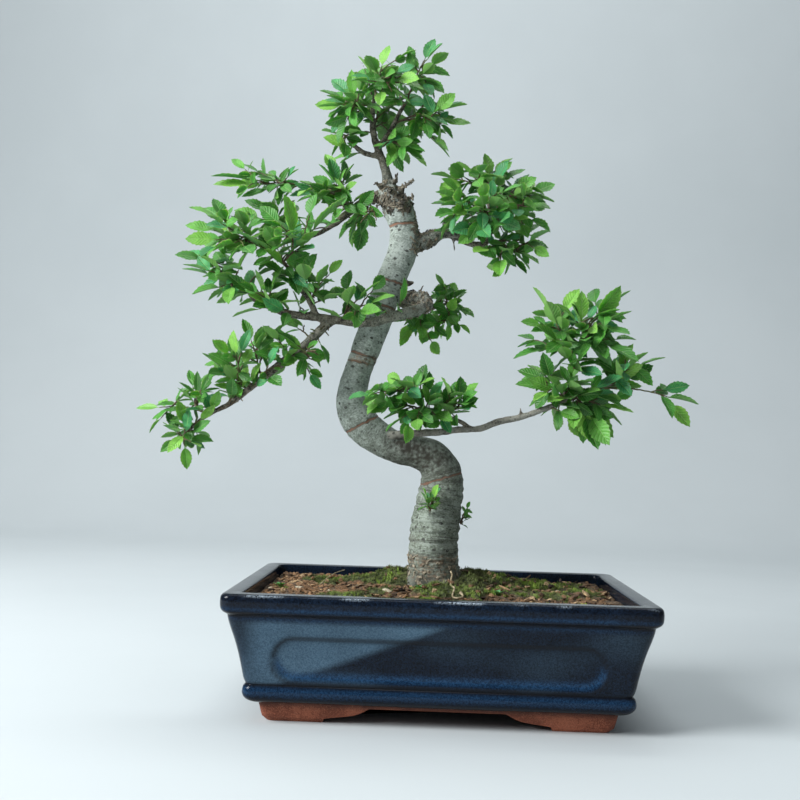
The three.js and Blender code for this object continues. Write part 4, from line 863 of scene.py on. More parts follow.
def clay_material():
    """Bare red-brown clay of the feet, sandy, with painted shade over its top, up under the glazed pot, and
    over its undersides and insides.
    """
    look = Look("bare_clay", Roughness=0.85)
    colour = look.uneven((0.17, 0.045, 0.022), (0.4, 0.125, 0.065), 60, 1500, 1)["Color"]
    place = look.parts(look.place)
    # Painted shade over the top of the feet, up under the glazed pot, full above 12.5 mm
    under_bead_shade = look.step(place["Z"], 0.0075, 0.0125)
    colour = look.over(colour, (0.035, 0.016, 0.013), under_bead_shade, 0.8)
    # Painted shade on the arches' undersides and inside the feet: all clay within 64.5 mm of the middle
    # across the pot's depth
    under = look.step(look.math("ABSOLUTE", place["Y"]), 0.0665, 0.0645)
    colour = look.over(colour, (0.03, 0.014, 0.011), under, 0.85)
    sand = look.specks(900, 0.3, 0.3)
    colour = look.over(colour, (0.42, 0.2, 0.12), sand, 0.35)
    look.grain(700, 0.7, strength=0.5, depth=0.0004)
    return look.finished(colour)


def bark_material():
    """Pale grey-green bark with fine level lines, black pores and scars, browner on thin branches."""
    look = Look("elm_bark", Roughness=0.8)
    straight = look.value("bark_place", "Vector")

    def on_limb(across, along):
        """The place on the limb, scaled by one number across it and by another along it."""
        return look.add("Mapping", {"Vector": straight, "Scale": (across, across, along)}).outputs[0]

    girth = look.value("bark_girth")
    thick = look.step(girth, 5, 9.5)
    old = look.uneven((0.13, 0.155, 0.115), (0.31, 0.36, 0.3), 95, 700, 1, on_limb(1, 1.6))
    young = look.uneven((0.042, 0.034, 0.024), (0.25, 0.225, 0.175), 260, 1100, 0.9, on_limb(1, 0.8))
    colour = look.mix(thick, young["Color"], old["Color"])
    lines = look.noise(on_limb(26, 820), 1, 3, 0.6, 0.35)
    high = look.value("bark_pale")
    low_trunk = look.math("SUBTRACT", look.step(girth, 22, 28), high, use_clamp=True)
    pale_lines = look.times(look.step(lines, 0.55, 0.66), low_trunk)
    colour = look.over(colour, (0.36, 0.4, 0.36), pale_lines, 0.4)
    dark_lines = look.times(look.step(lines, 0.45, 0.35), low_trunk)
    colour = look.over(colour, (0.07, 0.075, 0.06), dark_lines, 0.7)
    blotches = look.noise(on_limb(1, 1), 42, 6, 0.7)
    worn = look.times(look.step(blotches, 0.56, 0.64), thick)
    worn = look.times(worn, look.minus(0.6, look.times(high, 0.4)))
    colour = look.over(colour, (0.1, 0.095, 0.07), worn)
    smooth_pale = look.mix(old["Value"], (0.27, 0.31, 0.275), (0.5, 0.555, 0.51))
    smooth = look.times(high, look.step(girth, 8.5, 14))
    colour = look.over(colour, smooth_pale, smooth, 0.8)
    bleached = look.times(look.value("bark_bleached"), look.step(blotches, 0.35, 0.55))
    colour = look.over(colour, (0.36, 0.36, 0.31), bleached)
    pores = look.specks(330, 0.3, 0.5, on_limb(1, 1.3))
    big_pores = look.specks(170, 0.22, 0.55, on_limb(1, 1.5))
    dots = look.math("MAXIMUM", look.times(pores, 0.6), big_pores)
    colour = look.over(colour, (0.035, 0.034, 0.028), dots, 0.85)
    flecks = look.specks(560, 0.32, 0.35, on_limb(1, 2.6))
    colour = look.over(colour, (0.55, 0.6, 0.55), flecks, 0.35)
    ring = look.value("bark_ring")
    faded = look.step(blotches, 0.7, 0.52)
    ring_edge = look.times(look.step(ring, 1.6, 0.9), look.times(faded, 0.75))
    colour = look.over(colour, (0.085, 0.062, 0.045), ring_edge)
    ring_middle = look.times(look.step(ring, 0.8, 0.4), look.times(faded, 0.85))
    colour = look.over(colour, (0.27, 0.125, 0.075), ring_middle)
    scar_dark = look.step(look.noise(on_limb(200, 900), 1), 0.45, 0.55)
    scar_colour = look.mix(scar_dark, (0.24, 0.15, 0.09), (0.06, 0.042, 0.03))
    colour = look.over(colour, scar_colour, look.value("bark_scar"), 0.8)
    crusty = look.uneven((0.014, 0.012, 0.01), (0.33, 0.325, 0.28), 420, 1400, 0.8)["Color"]
    colour = look.over(colour, crusty, look.value("bark_crust"))
    lichen = look.times(look.value("bark_lichen"), look.step(blotches, 0.42, 0.52))
    colour = look.over(colour, (0.19, 0.27, 0.055), lichen)
    # Painted shade in the bend under the right branch and in the elbow's notch, and darker bark towards the
    # trunk's foot
    colour = look.over(colour, (0.04, 0.036, 0.026), look.value("bark_shade"))
    grain = look.group(GRAIN, Vector=on_limb(1, 2.2), Scale=320, Fine=0.6)["Height"]
    height = look.plus(grain, look.times(lines, low_trunk))
    look.bump(look.minus(height, look.times(dots, 0.5)), strength=0.7, depth=0.0007)
    return look.finished(colour)


def flake_material():
    """Loose bark scales, from dark grey-brown to pale tan."""
    look = Look("bark_scales", Roughness=0.85)
    colour = look.mix(look.value("flake_tone"), (0.03, 0.027, 0.021), (0.42, 0.36, 0.27))
    look.grain(1000, 0.6, strength=0.6, depth=0.0004)
    return look.finished(look.speckled(colour, (0.5, 0.5, 0.5), (1.4, 1.4, 1.35), 800, 2400, 0.7))


def twig_material():
    """Young shoots: brown at their roots, green towards their tips."""
    look = Look("young_twig", Roughness=0.6)
    brown = look.uneven((0.05, 0.032, 0.018), (0.16, 0.11, 0.06), 500, 2500, 0.6)["Color"]
    young = look.step(look.value("leaf_age"), 0.45, 0.95)
    look.grain(1200, 0.5, strength=0.4, depth=0.0003)
    return look.finished(look.over(brown, (0.13, 0.2, 0.045), young))


def leaf_material():
    """Elm leaf: green by age and place, veins in pairs, paler underneath, a soft waxy shine."""
    look = Look(
        "elm_leaf", Subsurface_Weight=0.25, Subsurface_Scale=0.0012, Subsurface_Radius=(0.5, 1, 0.2),
        IOR=1.45,
    )
    under = look.value("leaf_under")
    green = look.mix(look.value("leaf_tone"), (0.014, 0.082, 0.012), (0.085, 0.36, 0.045))
    green = look.over(green, (0.24, 0.54, 0.085), look.step(look.value("leaf_age"), 0.55, 1))
    green = look.over(green, (0.045, 0.29, 0.12), look.value("leaf_cool"))
    patchy = look.uneven((0.72, 0.74, 0.7), (1.18, 1.14, 1.1), 120, 900, 0.5)
    green = look.mix(1, green, patchy["Color"], "MULTIPLY")
    blade = look.parts(look.add("UVMap", uv_map="leaf_uv").outputs[0])
    across = look.math("ABSOLUTE", look.minus(blade["X"], 0.5))
    slant = look.minus(blade["Y"], look.times(across, 0.42))
    wave = look.math("FRACT", look.times(slant, 9.5))
    from_vein = look.math("ABSOLUTE", look.minus(wave, 0.5))
    side_vein = look.step(from_vein, 0.09, 0.02)
    midrib = look.step(across, 0.035, 0.012)
    veins = look.math("MAXIMUM", look.times(side_vein, 0.5), midrib)
    green = look.over(green, (0.3, 0.55, 0.16), veins, 0.55)
    green = look.over(green, (0.19, 0.36, 0.11), under, 0.6)
    look.bump(look.minus(look.times(from_vein, 1.2), veins), strength=0.5, depth=0.0006)
    rough = look.plus(0.36, look.times(patchy["Value"], 0.14))
    return look.finished(green, look.plus(rough, look.times(under, 0.2)))


def soil_material():
    """Damp bark and peat: orange-brown, and dark green under the moss."""
    look = Look("potting_soil", Roughness=0.95)
    dry = look.uneven((0.028, 0.019, 0.012), (0.22, 0.145, 0.085), 300, 1300, 1)["Color"]
    mossy = look.uneven((0.022, 0.03, 0.011), (0.12, 0.14, 0.045), 260, 1300, 0.9)["Color"]
    look.grain(500, 0.8, strength=0.8, depth=0.0012)
    return look.finished(look.over(dry, mossy, look.value("moss_share")))


def crumb_material():
    """Bits of bark and peat, each of its own brown."""
    look = Look("bark_crumbs", Roughness=0.9)
    tone = look.value("crumb_tone")
    colour = look.mix(tone, (0.027, 0.017, 0.012), (0.32, 0.185, 0.095))
    colour = look.over(colour, (0.5, 0.37, 0.22), look.step(tone, 0.82, 1))
    look.grain(1100, 0.6, strength=0.6, depth=0.0005)
    return look.finished(look.speckled(colour, (0.5, 0.48, 0.46), (1.35, 1.3, 1.2), 700, 2600, 0.8))


def moss_material():
    """Moss: dark at the roots of its tufts, bright at their tips, from olive to fresh green."""
    look = Look("moss", Roughness=0.75)
    tone = look.value("moss_tone")
    low = look.mix(tone, (0.04, 0.046, 0.02), (0.085, 0.15, 0.026))
    high = look.mix(tone, (0.2, 0.23, 0.09), (0.4, 0.62, 0.09))
    colour = look.over(low, high, look.value("moss_tip"))
    return look.finished(look.speckled(colour, (0.6, 0.6, 0.55), (1.25, 1.2, 1.1), 60, 700, 0.7))


def dry_bit_material(name, dark, light):
    """A small dry bit, such as a chip, a straw or a root."""
    look = Look(name, Roughness=0.7)
    look.grain(900, 0.5, strength=0.4, depth=0.0004)
    return look.finished(look.uneven(dark, light, 350, 1900, 0.6)["Color"])


def plain_material(name, roughness, *uneven):
    look = Look(name, Roughness=roughness)
    return look.finished(look.uneven(*uneven)["Color"])


GLAZE = glaze_material()
CLAY = clay_material()
BARK = bark_material()
FLAKES = flake_material()
TWIG = twig_material()
LEAF = leaf_material()
SOIL = soil_material()
CRUMBS = crumb_material()
MOSS = moss_material()
PALE_CHIP = dry_bit_material("pale_chip", (0.3, 0.24, 0.15), (0.7, 0.63, 0.48))
STRAW = dry_bit_material("dry_straw", (0.2, 0.15, 0.08), (0.55, 0.46, 0.3))
# Dark plastic of the drain pads, dusty with soil, and matt paper of the floor and backdrop
MESH_PAD = plain_material("drain_mesh", 0.55, (0.012, 0.014, 0.012), (0.05, 0.045, 0.035), 300, 1500, 0.5)
PAPER = plain_material("stage_paper", 0.9, (0.56, 0.605, 0.62), (0.59, 0.635, 0.65), 1.5, 9, 0.2)


# The pot

def smooth_line(places, step):
    """Places about one step apart on the smooth curve through the given ones, each with its position
    in the list as (place, index, share of the way to the next)."""
    guide = [Vector(p) for p in places]
    guide = [2 * guide[0] - guide[1], *guide, 2 * guide[-1] - guide[-2]]
    result = []
    for i, (before, a, b, after) in enumerate(zip(guide, guide[1:], guide[2:], guide[3:])):
        reach_in = (b - before) * 0.5
        reach_out = (after - a) * 0.5
        count = max(1, round((b - a).length / step))
        for k in range(count):
            t = k / count
            place = (
                a * (2 * t**3 - 3 * t**2 + 1) + reach_in * (t**3 - 2 * t**2 + t)
                + b * (3 * t**2 - 2 * t**3) + reach_out * (t**3 - t**2)
            )
            result.append((place, i, t))
    result.append((guide[-2], len(places) - 2, 1.0))
    return result


def smooth_profile(points, step):
    return [tuple(place) for place, _, _ in smooth_line(points, step)]


def smooth_curve(waypoints, step):
    """The same for waypoints (x, y, z, thickness), as (place, thickness)."""
    return [
        (place, lerp(waypoints[i][3], waypoints[i + 1][3], t))
        for place, i, t in smooth_line([p[:3] for p in waypoints], step)
    ]


def pot_size(inset):
    """The width and the depth of the pot this far inside its rim."""
    return POT_WIDTH - 2 * inset, POT_DEPTH - 2 * inset


def rounded_plate(name, inset, z):
    """A level plate with round corners, this far inside the pot's rim."""
    plate = add_primitive(bpy.ops.mesh.primitive_plane_add, name, size=1, location=at(0, 0, z))
    width, depth = pot_size(inset)
    plate.scale = (width * MM, depth * MM, 1)
    apply_place(plate)
    edit(plate)
    bpy.ops.mesh.bevel(offset=CORNER_RADIUS_AT_BASE * MM, segments=CORNER_STEPS, affect="VERTICES")
    return plate


def draw_along(profile):
    """Extrudes the selected plate through a profile of (inset, height)."""
    for (inset, z), (next_inset, next_z) in zip(profile, profile[1:]):
        extrude(0, 0, (next_z - z) * MM)
        width, depth = pot_size(inset)
        next_width, next_depth = pot_size(next_inset)
        bpy.ops.transform.resize(
            value=(next_width / width, next_depth / depth, 1), center_override=at(0, 0, next_z),
        )


def select_edges(obj, wanted):
    """Starts edit mode with the edges selected for which wanted(first point, second point) is true."""
    edit(obj, "DESELECT", "EDGE")
    leave_edit()
    for each in obj.data.edges:
        each.select = wanted(*(obj.data.vertices[i].co for i in each.vertices))
    bpy.ops.object.mode_set(mode="EDIT")


def split_long_edges(obj, longest, cuts):
    """Cuts the level edges along the pot's width that are longer than this."""
    select_edges(obj, lambda a, b: (
        abs(a.x - b.x) > longest * MM and abs(a.y - b.y) < NO_STEP and abs(a.z - b.z) < NO_STEP
    ))
    bpy.ops.mesh.subdivide(number_cuts=cuts)
    leave_edit()


def inside_panel(x, z):
    """How far a point of the wall lies inside the outline of the sunk panel, negative outside."""
    radius = PANEL_HEIGHT / 2
    beyond = max(0.0, abs(x) - (PANEL_WIDTH / 2 - radius))
    return radius - math.hypot(beyond, z - PANEL_MIDDLE)


def sink_panels(mesh):
    """Presses the panel into the front and the back wall, with soft glazed edges."""
    lowest, highest = PANEL_ZONE
    for vertex in mesh.vertices:
        x, y, z = in_mm(vertex.co)
        if abs(y) > POT_DEPTH / 2 - 15 and lowest < z < highest and abs(x) < PANEL_WIDTH / 2 + 4:
            sunk = PANEL_SUNK * ease(inside_panel(x, z), -PANEL_EDGE / 2, PANEL_EDGE / 2)
            vertex.co.y -= math.copysign(sunk * MM, y)


def pale_glaze_and_sheen(x, y, z):
    """A painted reflection that makes the front wall paler left of a slanting line, and faint clouds of
    paler, milky glaze elsewhere.
    """
    (low_x, low_z), (high_x, high_z) = PAINTED_SHEEN_EDGE
    slope = (high_z - low_z) / (high_x - low_x)
    past = (z - low_z) - slope * (x - low_x)
    band = ease(z, 22.5, 25.5) * (1 - ease(z, 60, 64))
    # The painted reflection: the front wall left of the slanting line, fading off at the far left
    front = ease(-y, 66, 74) * ease(past, -1.5, 4 + 0.06 * (60 - z))
    front *= 1 - ease(-x, 104, 124)
    cloud = 0.3 * ease(noise.noise(Vector((x, y, 1.5 * z)) * 0.018), -0.05, 0.5)
    return band * max(front * (0.9 + 0.3 * noise.noise(Vector((x, y, z)) * 0.05)), cloud)


def glaze_values(x, y, z):
    """What the glaze looks like at a place, each from 0 to 1: how thin it is, with a painted shadow along the
    upper edge of the panel; how pooled it is; how pale it is, with a painted reflection on the front left;
    and a painted highlight along the lip's outer edge, broken in spots. It runs thin over the edges of rim,
    bead and panel, and pools below them."""
    edge = bell((z - RIM_EDGE) / 1.2) + bell((z - BEAD_EDGE) / 0.9)
    corner = ease(abs(x) * POT_DEPTH / POT_WIDTH + abs(y), 158, 176)
    on_front = abs(y) > POT_DEPTH / 2 - 16
    panel = inside_panel(x, z)
    upper = 1.0 if z > PANEL_MIDDLE else 0.0
    line = bell(panel / 1.3) if on_front else 0.0
    base = bell((z - BEAD_FOOT) / 1.6)
    below = ease(-z, -44, -34)
    outer_line = bell(panel + 2.2) if on_front else 0.0
    # A painted shadow along the upper half of the panel's outline, and a thin dark line just outside its
    # lower half
    dark_line = 0.8 * line * upper * (1 - below) + 0.6 * outer_line * below
    thin = min(1.0, 0.85 * edge + 0.4 * corner * corner + dark_line + 0.8 * base)
    bead = ease(z, 15.5, 19) * (1 - ease(z, 21.4, 23))
    groove = bell((panel - 1.9) / 2.3) * below if on_front else 0.0
    under_rim = 0.75 * bell((z - 69) / 1.4) + 0.5 * bell((z - 63.5) / 1.3)
    pooled = min(1.0, 0.6 * bead + 1.1 * groove + under_rim)
    outwards = max(abs(x) - POT_WIDTH / 2, abs(y) - POT_DEPTH / 2)
    # A painted highlight along the lip's outer edge, broken in spots by noise; it is returned as worn
    glint = bell((z - LIP_EDGE) / 0.55) * ease(outwards, -2.4, -1.2)
    worn = glint * ease(noise.noise(Vector((x, y, z)) * 0.07), -0.15, 0.3)
    return thin, pooled, pale_glaze_and_sheen(x, y, z), worn


def drain_cutter(x):
    cutter = add_primitive(
        bpy.ops.mesh.primitive_cylinder_add, "drain_cutter", vertices=32, radius=DRAIN_HOLE_RADIUS * MM,
        depth=3 * FLOOR_TOP * MM, location=at(x, 0, FLOOR_TOP / 2),
    )
    apply_place(cutter)
    return cutter


def cut_away(obj, cutters):
    for cutter in cutters:
        apply_modifier(obj, "BOOLEAN", object=cutter, operation="DIFFERENCE", solver="EXACT")
        bpy.data.objects.remove(cutter)


def model_pot_body():
    outside = [point for profile, step in POT_SECTION for point in smooth_profile(profile, step)]
    body = rounded_plate("glazed_pot", *outside[0])
    draw_along(outside)
    leave_edit()
    for longest, columns in WALL_COLUMNS:
        split_long_edges(body, longest, columns - 1)
    close_mesh(body)
    sink_panels(body.data)
    cut_away(body, [drain_cutter(-DRAIN_HOLE_X), drain_cutter(DRAIN_HOLE_X)])
    body.data.materials.append(GLAZE)
    # Thin glaze with a painted shadow, pooled glaze, pale glaze with a painted reflection, and the lip's
    # painted highlight
    thin, pooled, pale, worn = zip(*(glaze_values(*in_mm(v.co)) for v in body.data.vertices))
    set_values(body.data, glaze_thin=thin, glaze_pool=pooled, glaze_pale=pale, glaze_edge=worn)
    return body


def outline_prism(outline, length):
    """A prism along Y whose section is an outline of (x, z) points, drawn point by point."""
    prism = add_primitive(bpy.ops.mesh.primitive_plane_add, "prism", size=MM, location=(0, 0, 0))
    edit(prism)
    bpy.ops.mesh.merge(type="CENTER")
    x, z = outline[0]
    bpy.ops.transform.translate(value=(x * MM, -length / 2 * MM, z * MM))
    for next_x, next_z in outline[1:]:
        extrude((next_x - x) * MM, 0, (next_z - z) * MM)
        x, z = next_x, next_z
    bpy.ops.mesh.select_all(action="SELECT")
    bpy.ops.mesh.edge_face_add()
    extrude(0, length * MM, 0)
    leave_edit()
    close_mesh(prism)
    return prism


def arch_cutter(half, along_x):
    """The opening between two feet: a step and a curved bracket at each end, flat between them."""
    right = [(half, -1), (half, 0.3), (half - 1, ARCH_STEP), (half - ARCH_LEDGE, ARCH_LEDGE_HEIGHT)]
    for share in (0.35, 0.6, 0.8, 1):
        rise = (ARCH_HEIGHT - ARCH_LEDGE_HEIGHT) * share**1.7
        right.append((half - ARCH_LEDGE - ARCH_CURVE * share, ARCH_LEDGE_HEIGHT + rise))
    left = [(-x, z) for x, z in reversed(right)]
    prism = outline_prism(right + left, 2 * POT_WIDTH)
    prism.location = at(0, 0, 0)
    if not along_x:
        prism.rotation_euler = (0, 0, math.pi / 2)
    apply_place(prism)
    return prism


def hollow_cutter(half_x, half_y, height):
    cutter = add_primitive(
        bpy.ops.mesh.primitive_cube_add, "hollow_cutter", size=1, location=at(0, 0, height / 2 - 1),
    )
    cutter.scale = (2 * half_x * MM, 2 * half_y * MM, (height + 2) * MM)
    apply_place(cutter)
    return cutter


def model_plinth():
    inset, bottom = PLINTH_PROFILE[0]
    plinth = rounded_plate("clay_feet", inset, bottom)
    draw_along(smooth_profile(PLINTH_PROFILE, 2.5))
    leave_edit()
    close_mesh(plinth)
    half_x = POT_WIDTH / 2 - inset
    half_y = POT_DEPTH / 2 - inset
    cut_away(plinth, [
        arch_cutter(half_x - FOOT_LENGTH_X, True),
        arch_cutter(half_y - FOOT_LENGTH_Y, False),
        hollow_cutter(half_x - FOOT_WALL, half_y - FOOT_WALL, ARCH_HEIGHT),
    ])
    apply_modifier(
        plinth, "BEVEL", width=FOOT_ROUNDING * MM, segments=2, limit_method="ANGLE",
        angle_limit=math.radians(FOOT_CREASE),
    )
    plinth.data.materials.append(CLAY)
    return plinth


def make_pot():
    body = model_pot_body()
    plinth = model_plinth()
    for piece in (body, plinth):
        shade_smooth(piece, POT_CREASE)
        finish_piece(piece, "glaze", "pot")
    for name in ("drain_pad_left", "drain_pad_right"):
        for pad_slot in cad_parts[name].material_slots:
            pad_slot.material = MESH_PAD


# The soil

def moss_height(x, y):
    """How far the moss stands above the bare soil at a place."""
    spot = Vector((x, y, 30))
    ragged = 1 + 0.45 * noise.noise(spot * 0.07) + 0.35 * noise.noise(spot * 0.22)
    best = 0.0
    for middle_x, middle_y, half_x, half_y, height in MOSS_PATCHES:
        out = math.hypot((x - middle_x) / half_x, (y - middle_y) / half_y) * ragged
        best = max(best, height * (1 - ease(out, 0.3, 1.0)))
    return best


def moss_worn(x, y, most):
    """How far the moss is worn away in spots on the right."""
    return most * ease(noise.noise(Vector((x * 0.09, y * 0.09, 21))), 0.02, 0.3) * ease(x, 16, 50)


def soil_height(x, y):
    """Height of the bare soil above the ground, as in the part."""
    trunk_x, trunk_y = LIMBS["trunk"][2][:2]
    distance = math.hypot(x - trunk_x, (y - trunk_y) * 1.15)
    mound = SOIL_MOUND_HEIGHT * bell(distance / SOIL_MOUND_REACH)
    uneven = 0.7 * math.sin(x * 0.09 + 1) * math.cos(y * 0.12) + 0.4 * math.sin(x * 0.21 + y * 0.17)
    return SOIL_EDGE_LEVEL + mound + uneven


def ground_height(x, y):
    """Height of the soil with its crumbly relief and the moss on it."""
    spot = Vector((x, y, 0))
    lumps = noise.fractal(spot * 0.16, 0.7, 2.1, 4)
    crumbs = noise.voronoi(spot * 0.28)[0][0]
    moss = moss_height(x, y)
    cushions = 1.3 * noise.noise(spot * 0.17) * ease(moss, 0.4, 1.5)
    return soil_height(x, y) + 0.6 * lumps + 1.1 * (0.5 - crumbs) + moss + cushions


def into_round_corners(x, y, half_x, half_y, radius):
    """Draws the corners of a rectangle in to a round corner of this radius."""
    over_x = abs(x) - (half_x - radius)
    over_y = abs(y) - (half_y - radius)
    if over_x <= 0 or over_y <= 0:
        return x, y
    shrink = max(over_x, over_y) / math.hypot(over_x, over_y)
    return (
        math.copysign(half_x - radius + over_x * shrink, x),
        math.copysign(half_y - radius + over_y * shrink, y),
    )


def make_soil():
    half_x = POT_WIDTH / 2 - SOIL_INSET
    half_y = POT_DEPTH / 2 - SOIL_INSET
    bottom = FLOOR_TOP + 2
    soil = add_primitive(
        bpy.ops.mesh.primitive_grid_add, "soil_surface", size=1, location=at(0, 0, SOIL_EDGE_LEVEL),
        x_subdivisions=SOIL_COLUMNS, y_subdivisions=SOIL_ROWS,
    )
    soil.scale = (2 * half_x * MM, 2 * half_y * MM, 1)
    apply_place(soil)
    edit(soil, "DESELECT", "EDGE")
    bpy.ops.mesh.select_non_manifold()
    extrude(0, 0, (SOIL_SIDE_LEVEL - SOIL_EDGE_LEVEL) * MM)
    extrude(0, 0, (bottom - SOIL_SIDE_LEVEL) * MM)
    bpy.ops.transform.resize(value=(*SOIL_TAPER, 1), center_override=at(0, 0, bottom))
    bpy.ops.mesh.edge_face_add()
    leave_edit()
    close_mesh(soil)
    mossy = []
    for vertex in soil.data.vertices:
        x, y, z = in_mm(vertex.co)
        round_x, round_y = into_round_corners(x, y, half_x, half_y, SOIL_CORNER)
        if z > SOIL_EDGE_LEVEL - 0.5:
            edge = max(abs(x) / half_x, abs(y) / half_y)
            vertex.co = at(round_x, round_y, ground_height(x, y) - 1.2 * ease(edge, 0.985, 1.0))
            mossy.append(ease(moss_height(x, y), 0.4, 1.4) * (1 - moss_worn(x, y, 0.75)))
            continue
        mossy.append(0.0)
        if z > SOIL_SIDE_LEVEL - 7:
            vertex.co = at(round_x, round_y, z)
    set_values(soil.data, moss_share=mossy)
    soil.data.materials.append(SOIL)
    shade_smooth(soil)
    finish_piece(soil, "soil", "soil")


def as_template(obj):
    """Takes the points and faces of a modelled shape and removes its object."""
    template = {
        "points": [v.co.copy() for v in obj.data.vertices],
        "faces": [tuple(p.vertices) for p in obj.data.polygons],
    }
    bpy.data.objects.remove(obj)
    return template


def model_crumb(size, seed):
    """One angular bit of bark or peat, a few millimetres across, at the origin, as a template."""
    draw = random.Random(seed)
    crumb = add_primitive(bpy.ops.mesh.primitive_cube_add, "crumb", size=0.8 * MM, location=(0, 0, 0))
    edit(crumb)
    bpy.ops.mesh.subdivide(number_cuts=1, smoothness=0.7)
    leave_edit()
    crumb.scale = size
    apply_place(crumb)
    offset = Vector((draw.random(), draw.random(), draw.random())) * 9
    for vertex in crumb.data.vertices:
        push = noise.noise(vertex.co * 1100 + offset)
        vertex.co *= 1 + 0.5 * push
        vertex.co += Vector([0.1 * MM * draw.uniform(-1, 1) * side for side in size])
    return as_template(crumb)


def scatter(name, templates, places, material, value_name=None):
    """Copies templates to places of (template index, matrix, value) and joins them in one mesh."""
    points = []
    faces = []
    values = []
    for index, matrix, value in places:
        template = templates[index]
        offset = len(points)
        points.extend(matrix @ co for co in template["points"])
        faces.extend(tuple(i + offset for i in face) for face in template["faces"])
        values.extend([value] * len(template["points"]))
    obj = mesh_piece(name, points, faces, material)
    if value_name:
        set_values(obj.data, **{value_name: values})
    return obj


def soil_spot(draw, margin):
    half_x = POT_WIDTH / 2 - SOIL_INSET - margin
    half_y = POT_DEPTH / 2 - SOIL_INSET - margin
    return draw.uniform(-half_x, half_x), draw.uniform(-half_y, half_y)


def from_trunk(x, y):
    """How far a place on the soil is from the middle of the trunk."""
    return math.hypot(x - LIMBS["trunk"][0][0], y)


def make_crumbs():
    draw = random.Random(SEED + 1)
    templates = [model_crumb(size, seed) for seed, size in enumerate(CRUMB_SIZES, 1)]
    places = []
    while len(places) < CRUMB_COUNT:
        x, y = soil_spot(draw, 4)
        if from_trunk(x, y) < TRUNK_FOOT:
            continue
        moss = moss_height(x, y)
        if moss > 0.8 and draw.random() < (0.93 if x < 30 else 0.8):
            continue
        kind = draw.choices(range(4), CRUMB_SHARES)[0]
        size = draw.uniform(0.6, 1.35)
        turn, tilt = random_turns(draw, 0.7)
        z = ground_height(x, y) + (1.4 if moss > 0.8 else 0.25) * size
        left = ease(-x, -30, 90)
        tone = min(0.82, max(0.0, draw.gauss(0.36 + 0.26 * left, 0.26)))
        if draw.random() < (0.4 if kind == CRUMB_FIBRE else 0.08):
            tone = draw.uniform(0.85, 1)
        places.append((kind, placement(at(x, y, z), tilt @ turn, size), tone))
    finish_piece(scatter("bark_crumbs", templates, places, CRUMBS, "crumb_tone"), "soil")


def model_moss_tuft(seed):
    """One tuft of moss about 4 mm across: a dozen pointed stems that lean outwards."""
    draw = random.Random(seed)
    stems = []
    for _ in range(11):
        angle = draw.uniform(0, 2 * math.pi)
        out = draw.uniform(0.1, 1.7)
        height = draw.uniform(1.6, 3.3)
        stem = add_primitive(
            bpy.ops.mesh.primitive_cone_add, "moss_stem", vertices=3, radius1=draw.uniform(0.28, 0.42) * MM,
            radius2=0, depth=height * MM, location=(0, 0, height / 2 * MM),
        )
        apply_place(stem)
        lean = 0.22 * out + draw.uniform(-0.1, 0.25)
        stem.rotation_mode = "QUATERNION"
        stem.rotation_quaternion = Quaternion((-math.sin(angle), math.cos(angle), 0), lean)
        stem.location = (math.cos(angle) * out * MM, math.sin(angle) * out * MM, -0.5 * MM)
        apply_place(stem)
        stems.append(stem)
    return as_template(join(stems, "moss_tuft"))


def moss_place(x, y, size, draw):
    turn, tilt = random_turns(draw, 0.4)
    return placement(at(x, y, ground_height(x, y) - 0.3), tilt @ turn, size)


def make_moss():
    draw = random.Random(SEED + 2)
    templates = [model_moss_tuft(seed) for seed in (5, 6, 7)]
    places = []
    for x, y, reach in BRIGHT_TUFTS:
        for _ in range(round(reach * 4)):
            angle = draw.uniform(0, 2 * math.pi)
            out = reach * math.sqrt(draw.random())
            size = draw.uniform(0.9, 1.3) * (1.15 - 0.4 * out / reach)
            matrix = moss_place(x + out * math.cos(angle), y + out * math.sin(angle), size, draw)
            places.append((draw.randrange(3), matrix, draw.uniform(0.75, 1)))
    while len(places) < MOSS_TUFT_COUNT:
        x, y = soil_spot(draw, 3)
        moss = moss_height(x, y)
        distance = from_trunk(x, y)
        if distance < TRUNK_FOOT or moss < 0.25 + 0.9 * draw.random() + moss_worn(x, y, 2.2):
            continue
        fresh = noise.noise(Vector((x * 0.06, y * 0.06, 8)))
        trunk_shade = bell(max(0.0, distance - 17) / 14)
        tone = 0.34 + 0.75 * fresh - 0.42 * trunk_shade + draw.uniform(-0.2, 0.2)
        size = draw.uniform(0.5, 1.1) * (0.8 + 0.04 * moss)
        places.append((draw.randrange(3), moss_place(x, y, size, draw), clamp(tone)))
    tip_heights = [clamp(point.z / MM / 2.6) for kind, _, _ in places for point in templates[kind]["points"]]
    moss = scatter("moss_tufts", templates, places, MOSS, "moss_tone")
    set_values(moss.data, moss_tip=tip_heights)
    finish_piece(moss, "leaf")


def make_seedlings(leaf_template):
    """Tiny round-leaved weeds, each a rosette of leaves."""
    draw = random.Random(SEED + 4)
    leaves = []
    for x, y, length in SEEDLINGS:
        base = Vector((x, y, ground_height(x, y) + 1.2))
        for k in range(8):
            angle = k * 2.4 + draw.uniform(-0.3, 0.3)
            along = Vector((math.cos(angle), math.sin(angle), draw.uniform(0.4, 1.1))).normalized()
            leaf = {
                "base": base, "along": along, "normal": (Vector((0, 0, 1)) - along * along.z).normalized(),
                "length": length * draw.uniform(0.75, 1.1), "width": 0.62 * length,
                "arch": 0.1, "fold": 0.2, "wave": 0, "sway": 0, "share": 1, "tone": 1,
            }
            leaves.append((leaf, leaf_points(leaf_template, leaf)))
    finish_piece(leaf_mesh("seedlings", leaves, leaf_template), "leaf")


